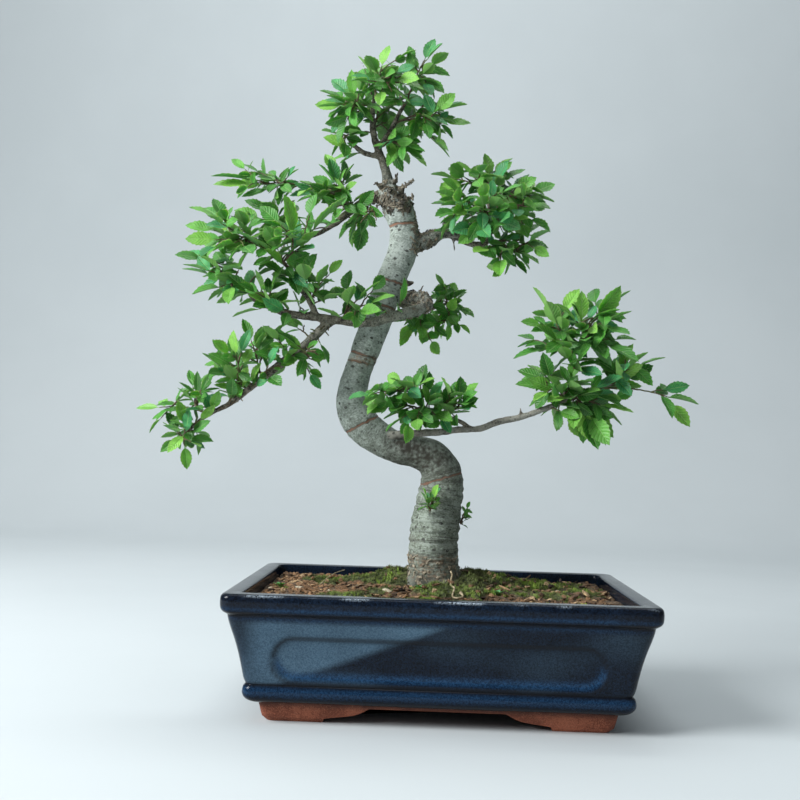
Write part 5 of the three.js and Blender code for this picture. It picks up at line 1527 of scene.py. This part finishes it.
def make_chips():
    """Pale chips of dry wood and stone lying on the soil."""
    places = []
    for x, y, length, width, turn in DRY_CHIPS:
        size = Matrix.Diagonal((length, width, width, 1))
        tilt = Quaternion((1, 0.3, 0), 0.25) @ Quaternion((0, 0, 1), math.radians(turn))
        z = ground_height(x, y) + 0.25 * width
        places.append((0, Matrix.Translation(at(x, y, z)) @ tilt.to_matrix().to_4x4() @ size, 0))
    finish_piece(scatter("dry_chips", [model_crumb((1, 1, 0.5), 8)], places, PALE_CHIP), "soil")


def make_stems():
    """Dry straws on the soil and the thin root that curls down from the trunk."""
    curves = []
    for thickness, places in STRAWS:
        waypoints = [(x, y, ground_height(x, y) + lift, thickness) for x, y, lift in places]
        curves.append(smooth_curve(waypoints, 2))
    root = [(x, y, max(z, ground_height(x, y) + 0.6), 1.2) for x, y, z in CURLED_ROOT]
    root[-1] = (*root[-1][:3], 3.2)
    curves.append(smooth_curve(root, 1))
    lines = [[(at(*place), width / 2 * MM) for place, width in curve] for curve in curves]
    stems = curve_object("dry_stems", lines, 1, STRAW)
    shade_smooth(stems)
    finish_piece(stems, "soil")


# The wood

def curve_object(name, lines, sides_level, material):
    """Round stems along lines of (place in metres, radius in metres), as one mesh."""
    curve = bpy.data.curves.new(name, "CURVE")
    curve.dimensions = "3D"
    curve.bevel_depth = 1.0
    curve.bevel_resolution = sides_level
    curve.use_fill_caps = True
    for line in lines:
        spline = curve.splines.new("POLY")
        spline.points.add(len(line) - 1)
        for point, (place, radius) in zip(spline.points, line):
            point.co = (*place, 1)
            point.radius = radius
    activate(new_object(name, curve))
    bpy.ops.object.convert(target="MESH")
    obj = bpy.context.object
    obj.data.materials.clear()
    obj.data.materials.append(material)
    return obj


def limb_lines():
    """Every limb and stub as a line of (place, thickness) in millimetres."""
    lines = [smooth_curve(waypoints, 1.0) for waypoints in LIMBS.values()]
    for start, end, thickness in STUBS:
        a = Vector(start)
        b = Vector(end)
        middle = a.lerp(b, 0.55) + Vector((0.4, -0.3, 0.8))
        waypoints = [(*a, thickness), (*middle, thickness * 0.62), (*b, thickness * 0.25)]
        lines.append(smooth_curve(waypoints, 1.0))
    return lines


def line_frames(line):
    """Places, directions along and across, radius and distance from the root for one line, as arrays."""
    places = np.array([place for place, _ in line])
    tangents = np.gradient(places, axis=0)
    tangents /= np.linalg.norm(tangents, axis=1, keepdims=True)
    across = np.zeros_like(places)
    side = np.array([1, 0.2, 0.1])
    for i, tangent in enumerate(tangents):
        side = side - tangent * side.dot(tangent)
        side /= np.linalg.norm(side)
        across[i] = side
    steps = np.linalg.norm(np.diff(places, axis=0), axis=1)
    return {
        "places": places, "radii": np.array([thickness / 2 for _, thickness in line]), "tangents": tangents,
        "across": across, "along": np.concatenate([[0], np.cumsum(steps)]),
    }


def nearest_on_limbs(points, frames):
    """For each point, the limb whose surface is nearest: its radius, angle, place along it, and how
    much nearer it is than any other limb."""
    best_gap = np.full(len(points), np.inf)
    second_gap = best_gap
    best = {"angle": np.zeros(len(points)), "along": np.zeros(len(points)), "radius": np.zeros(len(points))}
    for number, line in enumerate(frames):
        places = line["places"]
        squared = (points**2).sum(1)[:, None] + (places**2).sum(1)[None, :] - 2 * points @ places.T
        nearest = squared.argmin(1)
        offset = points - places[nearest]
        tangent = line["tangents"][nearest]
        across = line["across"][nearest]
        radius = line["radii"][nearest]
        gap = np.linalg.norm(offset, axis=1) - radius
        other = np.cross(tangent, across)
        here = {
            "angle": np.arctan2((offset * other).sum(1), (offset * across).sum(1)),
            "along": line["along"][nearest] + (offset * tangent).sum(1) + LIMB_SPACING * number,
            "radius": radius,
        }
        better = gap < best_gap
        second_gap = np.where(better, best_gap, np.minimum(second_gap, gap))
        best = {name: np.where(better, here[name], best[name]) for name in best}
        best_gap = np.where(better, gap, best_gap)
    return {**best, "apart": second_gap - best_gap}


def near_elbow(spot):
    """1 at the cracked elbow of the front branch, 0 away from it."""
    return 1 - ease((spot - Vector(ELBOW)).length, 9, 15)


def bark_relief(point, angle, radius):
    """How far the bark stands out at a place, in millimetres."""
    x, y, z = point
    spot = Vector((x, y, z))
    thick = ease(radius, 4, 9)
    trunk = ease(radius, 8.5, 10)
    level = z + 0.6 * math.sin(angle * 2 + 1) + 0.5 * math.sin(angle * 3)
    flutes = radius * 0.03 * math.sin(3 * angle - 0.05 * z) * trunk
    flare = radius * 0.09 * (1 + math.cos(5 * angle + 0.6)) * bell((z - 76) / 9) * trunk
    lumps = 0.5 * thick * noise.noise(spot * 0.09) + 0.22 * noise.noise(spot * 0.3)
    fine = 0.09 * noise.noise(spot * 1.1)
    low_rings = 0.0
    if trunk > 0 and z < 150:
        wave = math.sin(level * 0.95 + 2.2 * noise.noise(spot * 0.05))
        low_rings = 0.42 * max(0.0, wave) ** 2 * ease(z, 84, 98) * trunk
    cuts = -0.7 * trunk * sum(bell((level - height) / reach) for height, reach in TRUNK_CUTS)
    knobs = 0.3 * (1 - thick) * noise.noise(Vector((x * 0.25, y * 0.25, z * 0.25 + 7)))
    crust = ease(z, COLLAR_LOW, COLLAR_LOW + 8) * (1 - ease(z, COLLAR_HIGH - 4, COLLAR_HIGH + 6))
    crust *= ease(radius, 3, 6)
    flaky = 1.3 * crust * noise.fractal(spot * 0.35, 0.8, 2.2, 3)
    ring_groove = 0.5 * bell(ring_distance(point))
    elbow = 0.9 * near_elbow(spot) * noise.fractal(spot * 0.3, 0.8, 2.2, 3)
    return flutes + flare + lumps + fine + low_rings + cuts + knobs + flaky + elbow - ring_groove


def ring_distance(point):
    """How far a place on the bark lies from the nearest wire ring, in half thicknesses of the ring."""
    spot = Vector(point)
    best = 4.0
    for middle, half, rise in BARK_RINGS:
        offset = spot - Vector(middle)
        if offset.length < RING_REACH:
            wobble = 0.8 * noise.noise(spot * 0.3) + 0.3 * noise.noise(spot * 1.1)
            worn = 1 + 0.9 * max(0.0, noise.noise(spot * 0.16 + Vector((5, 0, 0))))
            best = min(best, abs(offset.z + wobble - rise * offset.x) * worn / half)
    return best


def scar_share(point):
    """How much of a brown patch lies at a place on the bark."""
    spot = Vector(point)
    best = 0.0
    for middle, half, reach in BARK_SCARS:
        offset = spot - Vector(middle)
        wobble = 2.4 * noise.noise(spot * 0.22)
        fade = 1 - ease(offset.length, reach * 0.6, reach)
        best = max(best, fade * (1 - ease(abs(offset.z + wobble), half * 0.4, half * 1.3)))
    return best * clamp(0.55 + 0.9 * noise.noise(spot * 0.5))


def shade_share(point):
    """How dark the bark is made: a painted shade in the bend under the right branch and in the elbow's notch,
    and darker towards the trunk's foot.
    """
    x, y, z = point
    spot = Vector(point)
    under_limb = bell((x + 22) / 20, (z - 167 + 0.25 * (x + 22)) / 7)
    inner_edge = bell((x + 27) / 15, (z - 153 + 0.54 * (x + 27)) / 7)
    whole_bend = bell((x + 12) / 30, (z - 160) / 16)
    bend = max(under_limb, 0.9 * inner_edge, 0.8 * whole_bend)
    notch = bell((spot - Vector(NOTCH)).length / 4.5)
    foot = 1 - ease(z, 76, 90)
    blotch = 0.5 + 0.9 * noise.noise(spot * 0.12)
    dappled = 0.95 + 0.9 * noise.noise(spot * 0.5)
    return clamp(bend * dappled + notch + foot * (0.25 + 0.6 * blotch))


def relax_joints(mesh, weights, rounds):
    """Evens the mesh where limbs meet, so that the wood flows from one into the other."""
    points = mesh_array(mesh.vertices, "co")
    edges = np.empty(len(mesh.edges) * 2, np.int32)
    mesh.edges.foreach_get("vertices", edges)
    first, second = edges.reshape(-1, 2).T
    degree = np.bincount(edges, minlength=len(points))[:, None]
    for _ in range(rounds):
        total = np.zeros_like(points)
        np.add.at(total, first, points[second])
        np.add.at(total, second, points[first])
        points += (total / degree - points) * weights[:, None] * 0.6
    mesh.vertices.foreach_set("co", points.ravel())
    mesh.update()


def mesh_array(vertices, what):
    """The places or the normals of all points, one row for each."""
    numbers = np.empty(len(vertices) * 3)
    vertices.foreach_get(what, numbers)
    return numbers.reshape(-1, 3)


def colour_bark(mesh, points, normals, nearest):
    """Stores where the bark has its rings, scars, crust, lichen and shade, from places in millimetres."""
    x, y, z = points.T
    radius = nearest["radius"]
    angle = nearest["angle"]
    straight = np.stack([radius * np.cos(angle), radius * np.sin(angle), nearest["along"]], 1) * MM
    on_right_limb = np.round(nearest["along"] / LIMB_SPACING - 0.1) == list(LIMBS).index("right")
    collar = np.clip((z - COLLAR_LOW) / 6, 0, 1) * np.clip((COLLAR_HIGH + 8 - z) / 10, 0, 1)
    crust = [
        share * ease(thickness, 2, 5) * (0.65 + 0.5 * noise.noise(Vector(p) * 0.4))
        for share, thickness, p in zip(collar, radius, points)
    ]
    on_upper_right = (x > -24) & (x < 6) & (z > 298) & (z < 324)
    crust = np.maximum(crust, np.where(on_upper_right, 0.8, 0))
    crust = np.maximum(crust, [0.75 * near_elbow(Vector(p)) for p in points])
    on_upper_left = (x < -44) & (x > -84) & (y > 0) & (z > 310) & (z < 345)
    set_values(
        mesh,
        bark_place=straight,
        bark_girth=2 * radius,
        bark_scar=[scar_share(p) for p in points],
        bark_ring=[ring_distance(p) for p in points],
        bark_pale=np.clip((z - 150) / 60, 0, 1),
        bark_bleached=np.where(on_right_limb, 0.75, 0.0),
        bark_crust=np.clip(crust, 0, 1),
        bark_lichen=np.where(on_upper_left, 0.75, 0.0) * np.clip(normals[:, 2] + 0.2, 0, 1),
        bark_shade=[shade_share(p) for p in points],
    )


def make_wood():
    lines = limb_lines()
    tubes = [[(at(*place), thickness / 2 * MM) for place, thickness in line] for line in lines]
    wood = curve_object("elm_wood", tubes, 9, BARK)
    apply_modifier(wood, "REMESH", mode="VOXEL", voxel_size=WOOD_VOXEL * MM)
    mesh = wood.data
    points = mesh_array(mesh.vertices, "co") / MM
    points[:, 0] -= POT_MIDDLE / MM
    nearest = nearest_on_limbs(points, [line_frames(line) for line in lines])
    joint = np.exp(-((nearest["apart"] / JOINT_REACH) ** 2))
    relax_joints(mesh, np.clip(joint + 0.12, 0, 1), JOINT_ROUNDS)
    normals = mesh_array(mesh.vertices, "normal")
    relief = np.array([bark_relief(*place) for place in zip(points, nearest["angle"], nearest["radius"])])
    moved = mesh_array(mesh.vertices, "co") + normals * relief[:, None] * MM
    mesh.vertices.foreach_set("co", moved.ravel())
    colour_bark(mesh, points, normals, nearest)
    mesh.materials.clear()
    mesh.materials.append(BARK)
    shade_smooth(wood)
    finish_piece(wood, "bark", "wood")
    return wood


def make_flakes(wood):
    """Loose scales of dead bark where branches were cut away and at the trunk's foot."""
    draw = random.Random(SEED + 5)
    templates = [model_crumb((3.8, 2.2, 0.9), 11), model_crumb((4.6, 1.2, 0.9), 12)]
    places = []
    for low, high, count, size, tone in FLAKE_ZONES:
        inside = [
            v for v in wood.data.vertices if all(a <= b <= c for a, b, c in zip(low, in_mm(v.co), high))
        ]
        for vertex in draw.sample(inside, min(count, len(inside))):
            facing = Vector((0, 0, 1)).rotation_difference(vertex.normal)
            turn, tilt = random_turns(draw, 0.7)
            scale = size * draw.uniform(0.5, 1.1)
            matrix = placement(vertex.co + vertex.normal * 0.2 * MM, facing @ tilt @ turn, scale)
            places.append((draw.randrange(2), matrix, clamp(draw.gauss(tone, 0.2))))
    finish_piece(scatter("bark_flakes", templates, places, FLAKES, "flake_tone"), "bark")


# The leaves

def leaf_half_width(share):
    """Half of a leaf's width at a share of its blade, as a share of its greatest half width."""
    if share < LEAF_WIDEST:
        return max(0.0, 1 - (1 - share / LEAF_WIDEST) ** 2) ** 0.6
    return 1 - ((share - LEAF_WIDEST) / (1 - LEAF_WIDEST)) ** 1.75


def leaf_station(row):
    """The place along the leaf and the half width of one row of points, stalk included."""
    if row < len(LEAF_STALK):
        return LEAF_STALK[row]
    start = LEAF_STALK[-1][0]
    share = (row - 2) / (LEAF_ROWS - 2)
    return start + (1 - start) * share, leaf_half_width(share)


def shape_leaf_sheet(hollow, under):
    """A flat grid drawn into a leaf's upper or lower skin, which is this hollow along its midrib."""
    sheet = add_primitive(
        bpy.ops.mesh.primitive_grid_add, "sheet", x_subdivisions=2, y_subdivisions=LEAF_ROWS, size=1,
        location=(0, 0, 0),
    )
    sheet.data.uv_layers[0].name = "leaf_uv"
    for vertex in sheet.data.vertices:
        across = round(vertex.co.x * 2, 3)
        row = round((vertex.co.y + 0.5) * LEAF_ROWS)
        place, width = leaf_station(row)
        height = -hollow * (1 - abs(across)) if width > 0 else 0.0
        on_edge = abs(abs(across) - 1) < 0.01
        if on_edge and 2 < row < LEAF_ROWS:
            tooth = row % 2 == 1
            width *= 1 + LEAF_TOOTH / 2 if tooth else 1 - LEAF_TOOTH / 2
            place += 0.014 if tooth else -0.008
        vertex.co = Vector((across * width, place, height))
    set_face_values(sheet.data, "leaf_under", [under] * len(sheet.data.polygons))
    return sheet


def model_leaf():
    """One leaf, a unit long and a unit to each side, closed, with teeth and a stalk."""
    leaf = join([shape_leaf_sheet(0.0, 0.0), shape_leaf_sheet(0.1, 1.0)], "leaf_template")
    edit(leaf)
    bpy.ops.mesh.remove_doubles(threshold=1e-4)
    bpy.ops.mesh.dissolve_degenerate(threshold=1e-5)
    bpy.ops.mesh.select_all(action="SELECT")
    bpy.ops.mesh.normals_make_consistent(inside=False)
    leave_edit()
    mesh = leaf.data
    uv = mesh.uv_layers["leaf_uv"].data
    under = mesh.attributes["leaf_under"].data
    template = {
        "uvs": [[tuple(uv[i].uv) for i in p.loop_indices] for p in mesh.polygons],
        "under": [under[p.index].value for p in mesh.polygons],
        **as_template(leaf),
    }
    template["points"] = np.array(template["points"])
    return template


class Shoot:
    """A leafy shoot: it arches from its root to where its last leaf starts."""

    def __init__(self, root, tip, heart, leaf, bare=0.0):
        reach = (tip - root).length
        self.tip = tip
        self.leaf = min(leaf, 0.7 * reach)
        self.bare = bare
        self.end = tip.lerp(root, self.leaf / reach)
        self.root = root
        self.middle = root.lerp(self.end, 0.5) + Vector((0, 0, 0.12 * (self.end - root).length))
        self.length = (self.middle - root).length + (self.end - self.middle).length
        outward = (tip - heart).normalized()
        self.light = (Vector((0, -0.4, 0.6)) + 0.7 * outward).normalized()
        self.across = self.tangent(0.5).cross(self.light).normalized()

    def point(self, t):
        return self.root * (1 - t) ** 2 + self.middle * 2 * t * (1 - t) + self.end * t**2

    def tangent(self, t):
        return ((self.middle - self.root) * (1 - t) + (self.end - self.middle) * t).normalized()

    def frame(self, t):
        ahead = self.tangent(t)
        right = (self.across - ahead * ahead.dot(self.across)).normalized()
        return self.point(t), ahead, right


def spray_shoots(name):
    """The shoots of a spray: the main one leaves the limb, the others leave it on the way."""
    limb, waypoint, tips, filling = SPRAYS[name]
    sprout = name in SPROUT_ROOTS
    heart = Vector(SPROUT_ROOTS.get(name, LIMBS[limb][waypoint][:3]))
    leaf = next((size for start, size in SPRAY_LEAF_LENGTHS.items() if name.startswith(start)), LEAF_LENGTH)
    bare = BARE_SHARES.get(name, 0.0)
    shoots = []
    for k, tip in enumerate(tips):
        origin = 0.0 if sprout else max(bare, 0.14) + 0.4 * (k - 1) / len(tips)
        root = heart if k == 0 else shoots[0].point(max(0.0, origin))
        shoots.append(Shoot(root, Vector(tip), heart, leaf, bare))
    for x, y, z, *own_length in filling:
        tip = Vector((x, y, z))
        size = own_length[0] if own_length else leaf
        root = heart if sprout else filling_root(tip, LIMBS[limb], shoots[:len(tips)], size)
        shoots.append(Shoot(root, tip, heart, size))
    return shoots, heart, leaf


def filling_root(tip, limb, shoots, leaf):
    """Where a filling shoot leaves the wood: the nearest place that leaves room for its leaves."""
    places = [place for place, _ in smooth_curve(limb, 2.0)]
    places += [shoot.point(k / 8) for shoot in shoots for k in range(8)]
    distances = [((place - tip).length, number) for number, place in enumerate(places)]
    far_enough = [each for each in distances if each[0] > leaf + 6] or [max(distances)]
    return places[min(far_enough)[1]]


def side_twigs(shoot, heart, leaf, draw):
    """Short twigs that leave a longer shoot to the left and the right."""
    count = 0 if shoot.bare > 0.5 else max(0, min(4, int(shoot.length / (0.6 * leaf))))
    twigs = []
    hand = draw.choice((-1, 1))
    for i in range(count):
        share = lerp(max(shoot.bare, 0.25), 0.85, (i + draw.uniform(0.2, 0.8)) / count)
        centre, ahead, right = shoot.frame(share)
        up = right.cross(ahead)
        hand = -hand
        direction = (
            ahead * draw.uniform(0.4, 0.9) + right * hand * draw.uniform(0.6, 1.0)
            + up * draw.uniform(-0.5, 0.6) + Vector((0, 0, draw.uniform(-0.1, 0.25)))
        ).normalized()
        length = leaf * draw.uniform(*SIDE_TWIG_LENGTHS)
        size = leaf * draw.uniform(0.7, 0.95)
        twigs.append(Shoot(centre, centre + direction * (length + size), heart, size))
    return twigs


def shoot_leaves(shoot, draw):
    """Where the leaves of one shoot stand: one at its end, the others in two ranks along it."""
    count = max(1, min(9, round(shoot.length * (1 - max(shoot.bare, 0.2)) / (LEAF_GAP * shoot.leaf))))
    leaves = []
    for i in range(count + 1):
        size, swing, roll, droop, slim = (draw.random() for _ in range(5))
        last = i == count
        share = 1.0 if last else lerp(max(shoot.bare, 0.22), 0.95, (i + 0.5) / count)
        centre, ahead, right = shoot.frame(share)
        hand = 1 if i % 2 else -1
        angle = 0.15 * (swing - 0.5) if last else hand * (0.7 + 0.7 * swing)
        forward = (shoot.tip - shoot.end).normalized() if last else ahead
        along = forward * math.cos(angle) + right * math.sin(angle)
        if not last:
            along += Vector((0, 0, 0.5 * (0.4 - droop)))
        along.normalize()
        normal = (shoot.light - along * shoot.light.dot(along)).normalized()
        length = shoot.leaf * (1.02 if last else 0.64 + 0.4 * size)
        leaves.append({
            "share": share, "base": centre, "along": along, "length": length, "last": last,
            "normal": Quaternion(along, 1.9 * (roll - 0.5)) @ normal,
            "width": length * LEAF_WIDTH_RATIO * (0.86 + 0.28 * slim),
            "arch": 0.03 + 0.14 * droop, "fold": 0.16 + 0.26 * size,
        })
    return leaves


def leaf_points(template, leaf):
    """The points of a leaf at its place: folded along its midrib, arched and a little wavy."""
    along = np.array(leaf["along"])
    normal = np.array(leaf["normal"])
    side = np.cross(along, normal)
    half = leaf["width"] / 2
    length = leaf["length"]
    across, place, lift = template["points"].T
    ripple = 0.05 * np.sin(place * 13 + leaf["wave"]) * np.abs(across)
    rise = lift * half + (np.abs(across) * leaf["fold"] + ripple) * half - leaf["arch"] * length * place**2
    sway = leaf["sway"] * length * place**2
    return (
        np.array(leaf["base"]) + place[:, None] * length * along
        + (across * half + sway)[:, None] * side + rise[:, None] * normal
    )


def turned_leaf(leaf, shoot, turn, shrink):
    """A leaf turned about its shoot and made smaller."""
    spin = Quaternion(shoot.tangent(leaf["share"]), turn)
    return {
        **leaf, "along": spin @ leaf["along"], "normal": spin @ leaf["normal"],
        "length": leaf["length"] * shrink, "width": leaf["width"] * shrink,
    }


def spray_box(name):
    """The lowest and the highest corner, in millimetres, between which the leaves of a spray stay."""
    low, high = (np.array(in_mm(corner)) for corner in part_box(name))
    return low - SPRAY_MARGIN, high + SPRAY_MARGIN


def wanted_leaves(sprays):
    """Every leaf that the shoots would have, as (spray, shoot, leaf), the shoots' end leaves first."""
    draw = random.Random(SEED)
    wanted = []
    for name, shoots in sprays.items():
        for shoot in shoots:
            for leaf in shoot_leaves(shoot, draw):
                leaf["wave"] = draw.uniform(0, 6.3)
                leaf["sway"] = draw.uniform(-0.1, 0.1)
                leaf["tone"] = draw.uniform(*SPROUT_TONES.get(name, (0, 1)))
                if name in SLIM_SPRAYS or leaf["length"] > BIG_LEAF:
                    leaf["width"] *= SLIM
                if name.startswith(BROAD_SPRAYS):
                    leaf["width"] *= BROAD
                wanted.append((name, shoot, leaf))
    return sorted(wanted, key=lambda item: not item[2]["last"])


def place_leaves(template, sprays, wood_tree):
    """Puts every leaf in its place. One that would cross the wood or another leaf is turned, made
    smaller or left out."""
    placed = {name: [] for name in sprays}
    lows, highs = (np.array(corners) for corners in zip(*(spray_box(name) for name in sprays)))
    trees = []
    for name, shoot, leaf in wanted_leaves(sprays):
        spare = 3 * SPRAY_MARGIN if leaf["length"] > BIG_LEAF else 0
        for turn, shrink in [(t, 1.0) for t in LEAF_TURNS] + [(t, 0.78) for t in LEAF_TURNS]:
            candidate = turned_leaf(leaf, shoot, turn, shrink)
            points = leaf_points(template, candidate)
            tree = BVHTree.FromPolygons(points.tolist(), template["faces"])
            middle = points.mean(0)
            reach = candidate["length"] * 0.62
            inside = (points[:, None, :] > lows - spare).all(2) & (points[:, None, :] < highs + spare).all(2)
            if not inside.any(1).all() or wood_tree.overlap(tree):
                continue
            if any(
                np.abs(middle - other_middle).max() < reach + other_reach
                and len(tree.overlap(other)) > TOUCHING_FACES_ALLOWED
                for other, other_middle, other_reach in trees
            ):
                continue
            trees.append((tree, middle, reach))
            placed[name].append((candidate, points))
            break
    return placed


def leaf_mesh(name, leaves, template):
    """Placed leaves as one mesh, each with its own tone and age."""
    points = []
    faces = []
    values = []
    for leaf, leaf_co in leaves:
        offset = len(points)
        points.extend(at(*p) for p in leaf_co)
        faces.extend(tuple(i + offset for i in face) for face in template["faces"])
        tone = clamp(0.1 + 0.5 * leaf["tone"] + 0.45 * leaf.get("outward", 0.5))
        age = clamp(0.15 + 0.4 * leaf["share"] ** 3 + 0.6 * (leaf["tone"] - 0.35))
        cool = 0.75 if leaf["tone"] * 37 % 1 < COOL_LEAVES else 0.0
        values.extend([(tone, age, cool)] * len(leaf_co))
    blades = mesh_piece(name, points, faces, LEAF)
    mesh = blades.data
    uvs = [corner for face in template["uvs"] for corner in face] * len(leaves)
    mesh.uv_layers.new(name="leaf_uv").data.foreach_set("uv", np.array(uvs, np.float32).ravel())
    tones, ages, cool = zip(*values)
    set_values(mesh, leaf_tone=tones, leaf_age=ages, leaf_cool=cool)
    set_face_values(mesh, "leaf_under", template["under"] * len(leaves))
    shade_smooth(blades, LEAF_CREASE)
    return blades


def twig_line(shoot, thickness):
    """A shoot's own line, a little zigzag from leaf to leaf, as (place, radius) in metres."""
    count = max(4, round(shoot.length / 2.5))
    line = []
    for k in range(count + 1):
        t = k / count
        centre, _, right = shoot.frame(t)
        zigzag = 0.25 * (1 if k % 2 else -1) * (t < 0.95) * (t > 0.05)
        line.append((at(*(centre + right * zigzag)), lerp(thickness, SHOOT_TIP_RADIUS, t) * MM))
    return line


def spray_mesh(name, leaves, shoots, template):
    """The leaves and twigs of one spray as one piece. shoots holds each shoot with its thickness."""
    heart = np.array(shoots[0][0].root)
    distances = [np.linalg.norm(np.array(leaf["base"]) - heart) for leaf, _ in leaves]
    for (leaf, _), distance in zip(leaves, distances):
        leaf["outward"] = distance / max(distances)
    blades = leaf_mesh(name + "_leaves", leaves, template)
    twigs = curve_object(name + "_twigs", [twig_line(*shoot) for shoot in shoots], 1, TWIG)
    set_values(twigs.data, leaf_age=[0.5 + 0.4 * noise.noise(v.co * 60) for v in twigs.data.vertices])
    shade_smooth(twigs)
    return join([blades, twigs], name + "_foliage")


def make_foliage(wood, template):
    draw = random.Random(SEED + 3)
    wood_faces = [tuple(p.vertices) for p in wood.data.polygons]
    wood_tree = BVHTree.FromPolygons([in_mm(v.co) for v in wood.data.vertices], wood_faces)
    sprays = {}
    thick = {}
    for name in SPRAYS:
        main, heart, leaf = spray_shoots(name)
        branched = [] if name in SPROUT_ROOTS else main
        twigs = [twig for shoot in branched for twig in side_twigs(shoot, heart, leaf, draw)]
        sprays[name] = main + twigs
        thinner = [0.85 * SHOOT_ROOT_RADIUS] * (len(main) - 1)
        thick[name] = [SHOOT_ROOT_RADIUS] + thinner + [SIDE_TWIG_RADIUS] * len(twigs)
    placed = place_leaves(template, sprays, wood_tree)
    for name, shoots in sprays.items():
        piece = spray_mesh(name, placed[name], list(zip(shoots, thick[name])), template)
        finish_piece(piece, "leaf", name)


# Floor, light and camera

def make_stage():
    """A pale paper sweep: level under the pot, bending up into the backdrop."""
    sweep = add_primitive(bpy.ops.mesh.primitive_plane_add, "paper_sweep", size=1, location=(0, 0, 0))
    sweep.scale = SWEEP_SIZE
    sweep.location = SWEEP_MIDDLE
    apply_place(sweep)
    select_edges(sweep, lambda a, b: a.y > 1.0 and b.y > 1.0)
    angles = [k / SWEEP_STEPS * math.pi / 2 for k in range(SWEEP_STEPS + 1)]
    for before, now in zip(angles, angles[1:]):
        rise = SWEEP_RADIUS * (math.cos(before) - math.cos(now))
        extrude(0, SWEEP_RADIUS * (math.sin(now) - math.sin(before)), rise)
    extrude(0, 0, BACKDROP_HEIGHT)
    leave_edit()
    sweep.data.materials.append(PAPER)
    shade_smooth(sweep)


def make_lights():
    for name, place, target, size, power, colour in LIGHTS:
        light = bpy.data.lights.new(name, "AREA")
        light.shape = "RECTANGLE"
        light.size, light.size_y = size
        light.energy = power
        light.color = colour
        obj = new_object(name, light)
        obj.location = place
        obj.rotation_mode = "QUATERNION"
        obj.rotation_quaternion = (Vector(target) - Vector(place)).to_track_quat("-Z", "Y")
    world = bpy.data.worlds.new("soft_room")
    world.use_nodes = True
    background = world.node_tree.nodes["Background"].inputs
    background["Color"].default_value = ROOM_COLOUR
    background["Strength"].default_value = ROOM_STRENGTH
    bpy.context.scene.world = world
    bpy.context.scene.view_settings.view_transform = "Standard"


def make_camera():
    camera = bpy.data.cameras.new("photo_camera")
    camera.lens = LENS_LENGTH
    camera.sensor_width = FILM_WIDTH
    camera.sensor_fit = "HORIZONTAL"
    obj = new_object("photo_camera", camera)
    turn = Matrix((Vector(CAMERA_RIGHT), Vector(CAMERA_UP), -Vector(CAMERA_AHEAD))).transposed().to_4x4()
    obj.matrix_world = Matrix.Translation(at(*CAMERA_PLACE)) @ turn
    bpy.context.scene.camera = obj


make_pot()
make_soil()
make_crumbs()
make_moss()
elm_wood = make_wood()
make_flakes(elm_wood)
elm_leaf = model_leaf()
make_foliage(elm_wood, elm_leaf)
make_seedlings(elm_leaf)
make_chips()
make_stems()
make_stage()
make_lights()
make_camera()
start_modelling()
